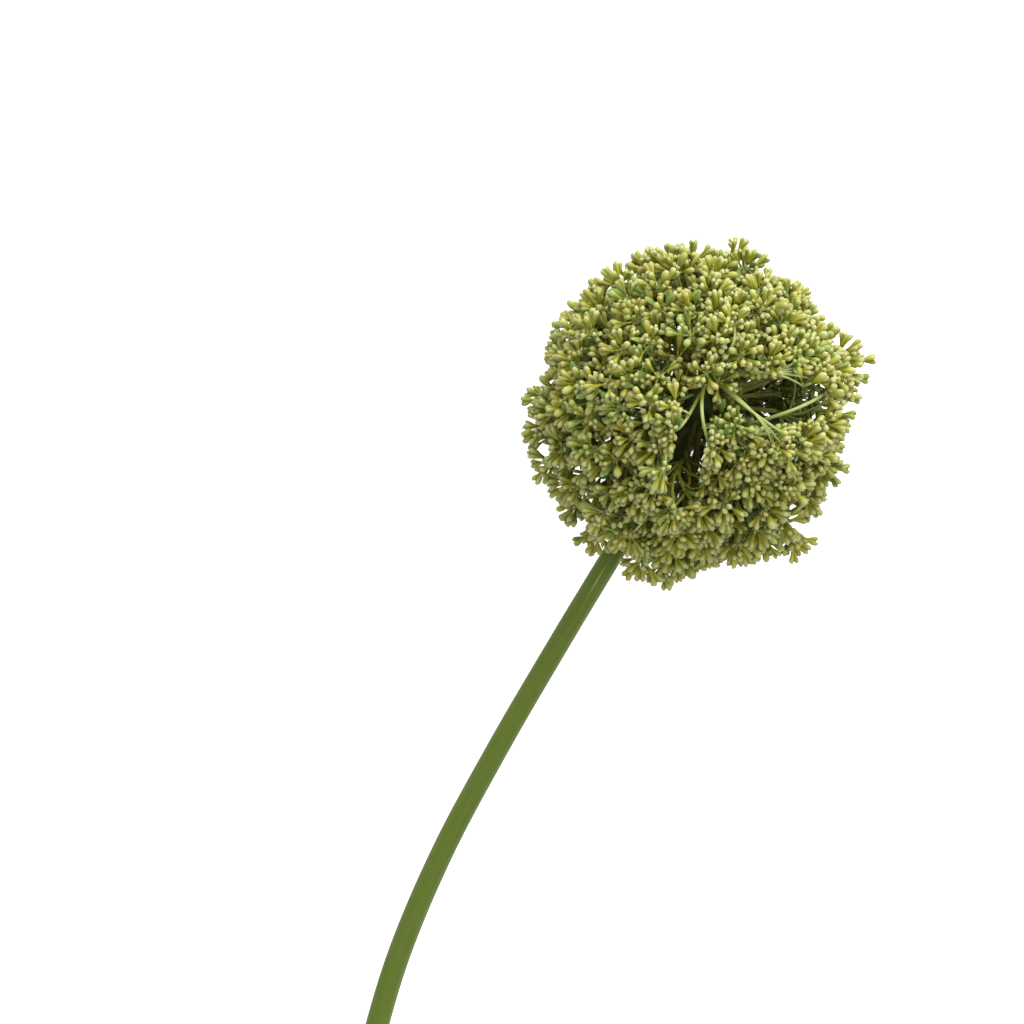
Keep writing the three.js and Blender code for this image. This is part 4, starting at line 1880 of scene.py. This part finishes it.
@dataclass(frozen=True)
class FloretFinish(Finish):
    """Fleshy floret tissue: yellow-green flanks and cream-olive lobes, with shade painted darker into
    the grooves between the lobes.
    """

    name: str = "fresh_floret"
    roughness: float = 0.54
    grain: float = 0.9
    bump: float = 0.06
    glow: float = 0.12
    foot: str = "#82851e"
    flank: str = "#a9aa3a"
    lobe: str = "#b6b868"
    # Cream of the lobes' tops: partly the tissue's own colour, partly a painted highlight.
    crown: str = "#b8ba8c"
    # Painted shade in the grooves between the lobes.
    groove_shade: str = "#686714"
    olive: str = "#a39a3a"
    green: str = "#8ca350"
    fresh: str = "#8ea458"
    shade: str = "#555a04"

    def colour(self, tree: bpy.types.NodeTree) -> bpy.types.NodeSocket:
        """Grades the colour from foot to lobes with a paler crown, partly the tissue's own cream and
        partly a painted highlight, shifts it from floret to floret, and paints shade into the grooves
        and deeper in the ball.

        Args:
            tree: The material's tree.

        Returns:
            The colour's output.
        """
        colour = self.shifted(tree, linear(self.foot), self.flank, "tip", (0.05, 0.5, 0, 1))
        colour = self.shifted(tree, colour, self.lobe, "tip", (0.45, 0.82, 0, 1))
        # Paler crown on the lobes' tops: partly the tissue's cream, partly a painted highlight.
        colour = self.shifted(tree, colour, self.crown, "tip", (0.8, 1.0, 0, 0.65))
        colour = self.shifted(tree, colour, self.olive, "chance", (0.45, 1.0, 0, 0.45))
        colour = self.shifted(tree, colour, self.green, "chance", (0.14, 0.02, 0, 0.75))
        colour = self.shifted(tree, colour, self.olive, "tone", (0.5, 1.0, 0, 0.25))
        colour = self.shifted(tree, colour, self.fresh, "tone", (0.12, 0.04, 0, 0.45))
        # Paints shade into the grooves between the lobes.
        colour = self.shifted(tree, colour, self.groove_shade, "groove_shade", (0.3, 1, 0, 0.8))
        return self.shifted(tree, colour, self.shade, "depth", (0.3, 1, 0, 0.62))


@dataclass(frozen=True)
class StalkFinish(Finish):
    """Young green stalk: smooth and slightly waxy, pale green near the surface, olive deeper in the
    ball, partly its own colour and partly painted shade, and darker still in painted shade.
    """

    name: str = "green_stalk"
    roughness: float = 0.5
    grain: float = 1.4
    bump: float = 0.05
    glow: float = 0.06
    surface_green: str = "#9eab66"
    # Olive deeper in the ball: partly the stalks' own colour, partly painted shade.
    olive_and_shade: str = "#9a9a38"
    shade: str = "#42430c"

    def colour(self, tree: bpy.types.NodeTree) -> bpy.types.NodeSocket:
        """Turns the stalks olive inwards, partly their own colour and partly painted shade, and then
        darkens them by painted shade.
        """
        # Olive inwards, partly painted shade; then darker by painted shade.
        colour = self.shifted(tree, linear(self.surface_green), self.olive_and_shade, "depth", (0.1, 0.6, 0, 1))
        return self.shifted(tree, colour, self.shade, "depth", (0.5, 0.92, 0, 0.9))


@dataclass(frozen=True)
class LeafletFinish(Finish):
    """Small grey-green leaflet with a thin waxy bloom, paler at its rim."""

    name: str = "waxy_leaflet"
    roughness: float = 0.5
    grain: float = 1.2
    bump: float = 0.05
    glow: float = 0.08
    foot: str = "#5f7430"
    blade: str = "#7c9448"
    rim: str = "#a3b474"
    shade: str = "#40460f"

    def colour(self, tree: bpy.types.NodeTree) -> bpy.types.NodeSocket:
        """Grades the colour from foot to rim, and paints shade deeper in the ball.

        Args:
            tree: The material's tree.

        Returns:
            The colour's output.
        """
        colour = self.shifted(tree, linear(self.foot), self.blade, "tip", (0.1, 0.6, 0, 1))
        colour = self.shifted(tree, colour, self.rim, "tip", (0.75, 1.0, 0, 0.7))
        return self.shifted(tree, colour, self.shade, "depth", (0.3, 1, 0, 0.65))


@dataclass(frozen=True)
class StemFinish(Finish):
    """Smooth, faintly waxy stem skin with fine fibres running its length, and a pale cut face.

    The fibres are closer in a real stem, and are drawn as coarse as they need to be to show.

    Attributes:
        fibre_radius: Radius of the stem for which the fibres' distances hold, in millimetres.
        fine_fibre: Distance from one fine fibre to the next, in millimetres.
        broad_fibre: Distance from one broad, darker band to the next, in millimetres.
    """

    name: str = "waxy_stem"
    roughness: float = 0.52
    grain: float = 3.0
    bump: float = 0.05
    glow: float = 0.05
    skin: str = "#5c6e24"
    pale: str = "#6a7c36"
    dark: str = "#546620"
    shade: str = "#2b3716"
    # Pale seam line on the stem's top: partly a painted highlight.
    seam_highlight: str = "#a9b67a"
    pith: str = "#c6cf9a"
    fibre_radius: float = 3.96
    fine_fibre: float = 0.44
    broad_fibre: float = 1.8

    def colour(self, tree: bpy.types.NodeTree) -> bpy.types.NodeSocket:
        """Draws fibres along the stem, a pale seam line along its top under the head that is partly a
        painted highlight, painted shade towards the head, and the cut face.

        Args:
            tree: The material's tree.

        Returns:
            The colour's output.
        """
        fibre = add_node(tree, "ShaderNodeAttribute", attribute_name="fibre").outputs["Vector"]
        fine, broad = (
            add_node(
                tree,
                "ShaderNodeTexNoise",
                {"Vector": fibre, "Scale": self.fibre_radius / distance, "Detail": detail},
            ).outputs[0]
            for distance, detail in ((self.fine_fibre, 3.0), (self.broad_fibre, 1.0))
        )
        colour = self.shifted(tree, linear(self.skin), self.pale, fine, (0.5, 0.75, 0, 0.45))
        colour = self.shifted(tree, colour, self.dark, broad, (0.5, 0.8, 0, 0.5))
        # Paints the pale seam line, partly a painted highlight.
        colour = self.shifted(tree, colour, self.seam_highlight, "seam_highlight", (0.2, 1, 0, 0.6))
        colour = self.shifted(tree, colour, self.shade, "depth", (0.1, 1, 0, 0.9))
        return self.shifted(tree, colour, self.pith, "cut", (0.2, 0.9, 0, 0.9))


# ----------------------------------------------------------------------------------- the studio


@dataclass(frozen=True)
class SoftLight:
    """A soft square light that faces the head.

    Attributes:
        name: Its name.
        place: Its place from the head's centre, in metres: to the right and upwards in the picture,
            and towards the camera.
        power: Its power in watts.
        side: Its side in metres.
    """

    name: str
    place: tuple[float, float, float]
    power: float
    side: float = 1.0


@dataclass
class Studio:
    """The plain pale floor, the soft light and the camera, which looks straight down.

    Attributes:
        head: The head that the view is centred by.
        turn: Turn of the picture about the vertical, in degrees.
        lens: Focal length, in millimetres.
        sensor: Width of the picture behind the lens, in millimetres.
        sight: Nearest and furthest distance that the camera sees, in metres.
        floor_colour: Colour of the paper that the flower lies on.
        floor_glow: The floor's own light, which keeps its shadows faint.
        floor_size: Its side in metres.
        sky: Strength of the even light from all round.
        lights: The lights.
    """

    head: Head
    turn: float = 25.398
    lens: float = 117.65
    sensor: float = 36.0
    sight: tuple[float, float] = (0.05, 50.0)
    floor_colour: str = "#f4f4f2"
    floor_glow: float = 0.75
    floor_size: float = 6.0
    sky: float = 0.7
    lights: Sequence[SoftLight] = (
        SoftLight("key", (0.35, 1.05, 0.52), 21.0),
        SoftLight("fill", (0.3, -0.1, 1.0), 4.0),
    )

    def in_view(self, right: float, up: float, near: float) -> np.ndarray:
        """Finds a place by the picture's own directions.

        Args:
            right: Distance to the right of the head's centre, in metres.
            up: Distance upwards in the picture.
            near: Distance towards the camera.

        Returns:
            The place in the part's frame.
        """
        turn = math.radians(self.turn)
        rightwards = np.array([math.cos(turn), math.sin(turn), 0.0])
        upwards = np.array([-math.sin(turn), math.cos(turn), 0.0])
        return self.head.middle * MM + rightwards * right + upwards * up + UP * near

    def build(self) -> None:
        """Builds the camera, the floor and the lights."""
        self.build_camera()
        self.build_floor()
        for light in self.lights:
            self.build_light(light)
        world = bpy.data.worlds.new("studio")
        bpy.context.scene.world = world
        tree = bare_tree(world)
        white = {"Color": linear("#ffffff"), "Strength": self.sky}
        sky = add_node(tree, "ShaderNodeBackground", white)
        add_node(tree, "ShaderNodeOutputWorld", {"Surface": sky.outputs[0]})
        bpy.context.scene.view_settings.view_transform = "Standard"
        bpy.context.scene.view_settings.look = "None"

    def build_camera(self) -> None:
        """Sets the camera over the flower."""
        data = bpy.data.cameras.new("camera")
        data.lens = self.lens
        data.sensor_width = self.sensor
        data.clip_start, data.clip_end = self.sight
        camera = bpy.data.objects.new("camera", data)
        x, y = self.head.middle[:2] + CAMERA_ASIDE
        camera.location = (x * MM, y * MM, CAMERA_HEIGHT * MM)
        camera.rotation_euler = (0.0, 0.0, math.radians(self.turn))
        bpy.context.scene.collection.objects.link(camera)
        bpy.context.scene.camera = camera

    def build_floor(self) -> None:
        """Lays the pale floor, which glows a little so that its shadows stay faint."""
        bpy.ops.object.select_all(action="DESELECT")
        bpy.ops.mesh.primitive_plane_add(size=self.floor_size)
        floor = bpy.context.object
        floor.name = "floor"
        material = bpy.data.materials.new("pale_paper")
        tree = bare_tree(material)
        shader = add_node(
            tree,
            "ShaderNodeBsdfPrincipled",
            {
                "Base Color": linear(self.floor_colour),
                "Roughness": 0.9,
                "Specular IOR Level": 0.1,
                "Emission Color": linear("#ffffff"),
                "Emission Strength": self.floor_glow,
            },
        )
        add_node(tree, "ShaderNodeOutputMaterial", {"Surface": shader.outputs[0]})
        floor.data.materials.append(material)
        floor.visible_diffuse = False

    def build_light(self, light: SoftLight) -> None:
        """Hangs a light.

        Args:
            light: The light.
        """
        data = bpy.data.lights.new(light.name, "AREA")
        data.shape = "SQUARE"
        data.size = light.side
        data.energy = light.power
        lamp = bpy.data.objects.new(light.name, data)
        place = self.in_view(*light.place)
        lamp.location = place
        lamp.rotation_mode = "QUATERNION"
        away = Vector(place - self.head.middle * MM)
        lamp.rotation_quaternion = away.to_track_quat("Z", "Y")
        bpy.context.scene.collection.objects.link(lamp)


def main() -> None:
    """Dresses the flower and sets it in the studio."""
    logging.basicConfig(level=logging.INFO, format="%(name)s: %(message)s")
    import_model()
    head = Head()
    Studio(head).build()
    Stem(head).build(StemFinish().material())
    sprays = head.grow()
    florets = Florets(head)
    florets.sprout(sprays)
    log.info("head: %d florets and leaflets", len(florets.kinds))
    maker = SprayMaker(florets)
    materials = [FloretFinish().material(), StalkFinish().material(), LeafletFinish().material()]
    for spray in sprays:
        maker.build(spray, materials)


if __name__ == "__main__":
    main()
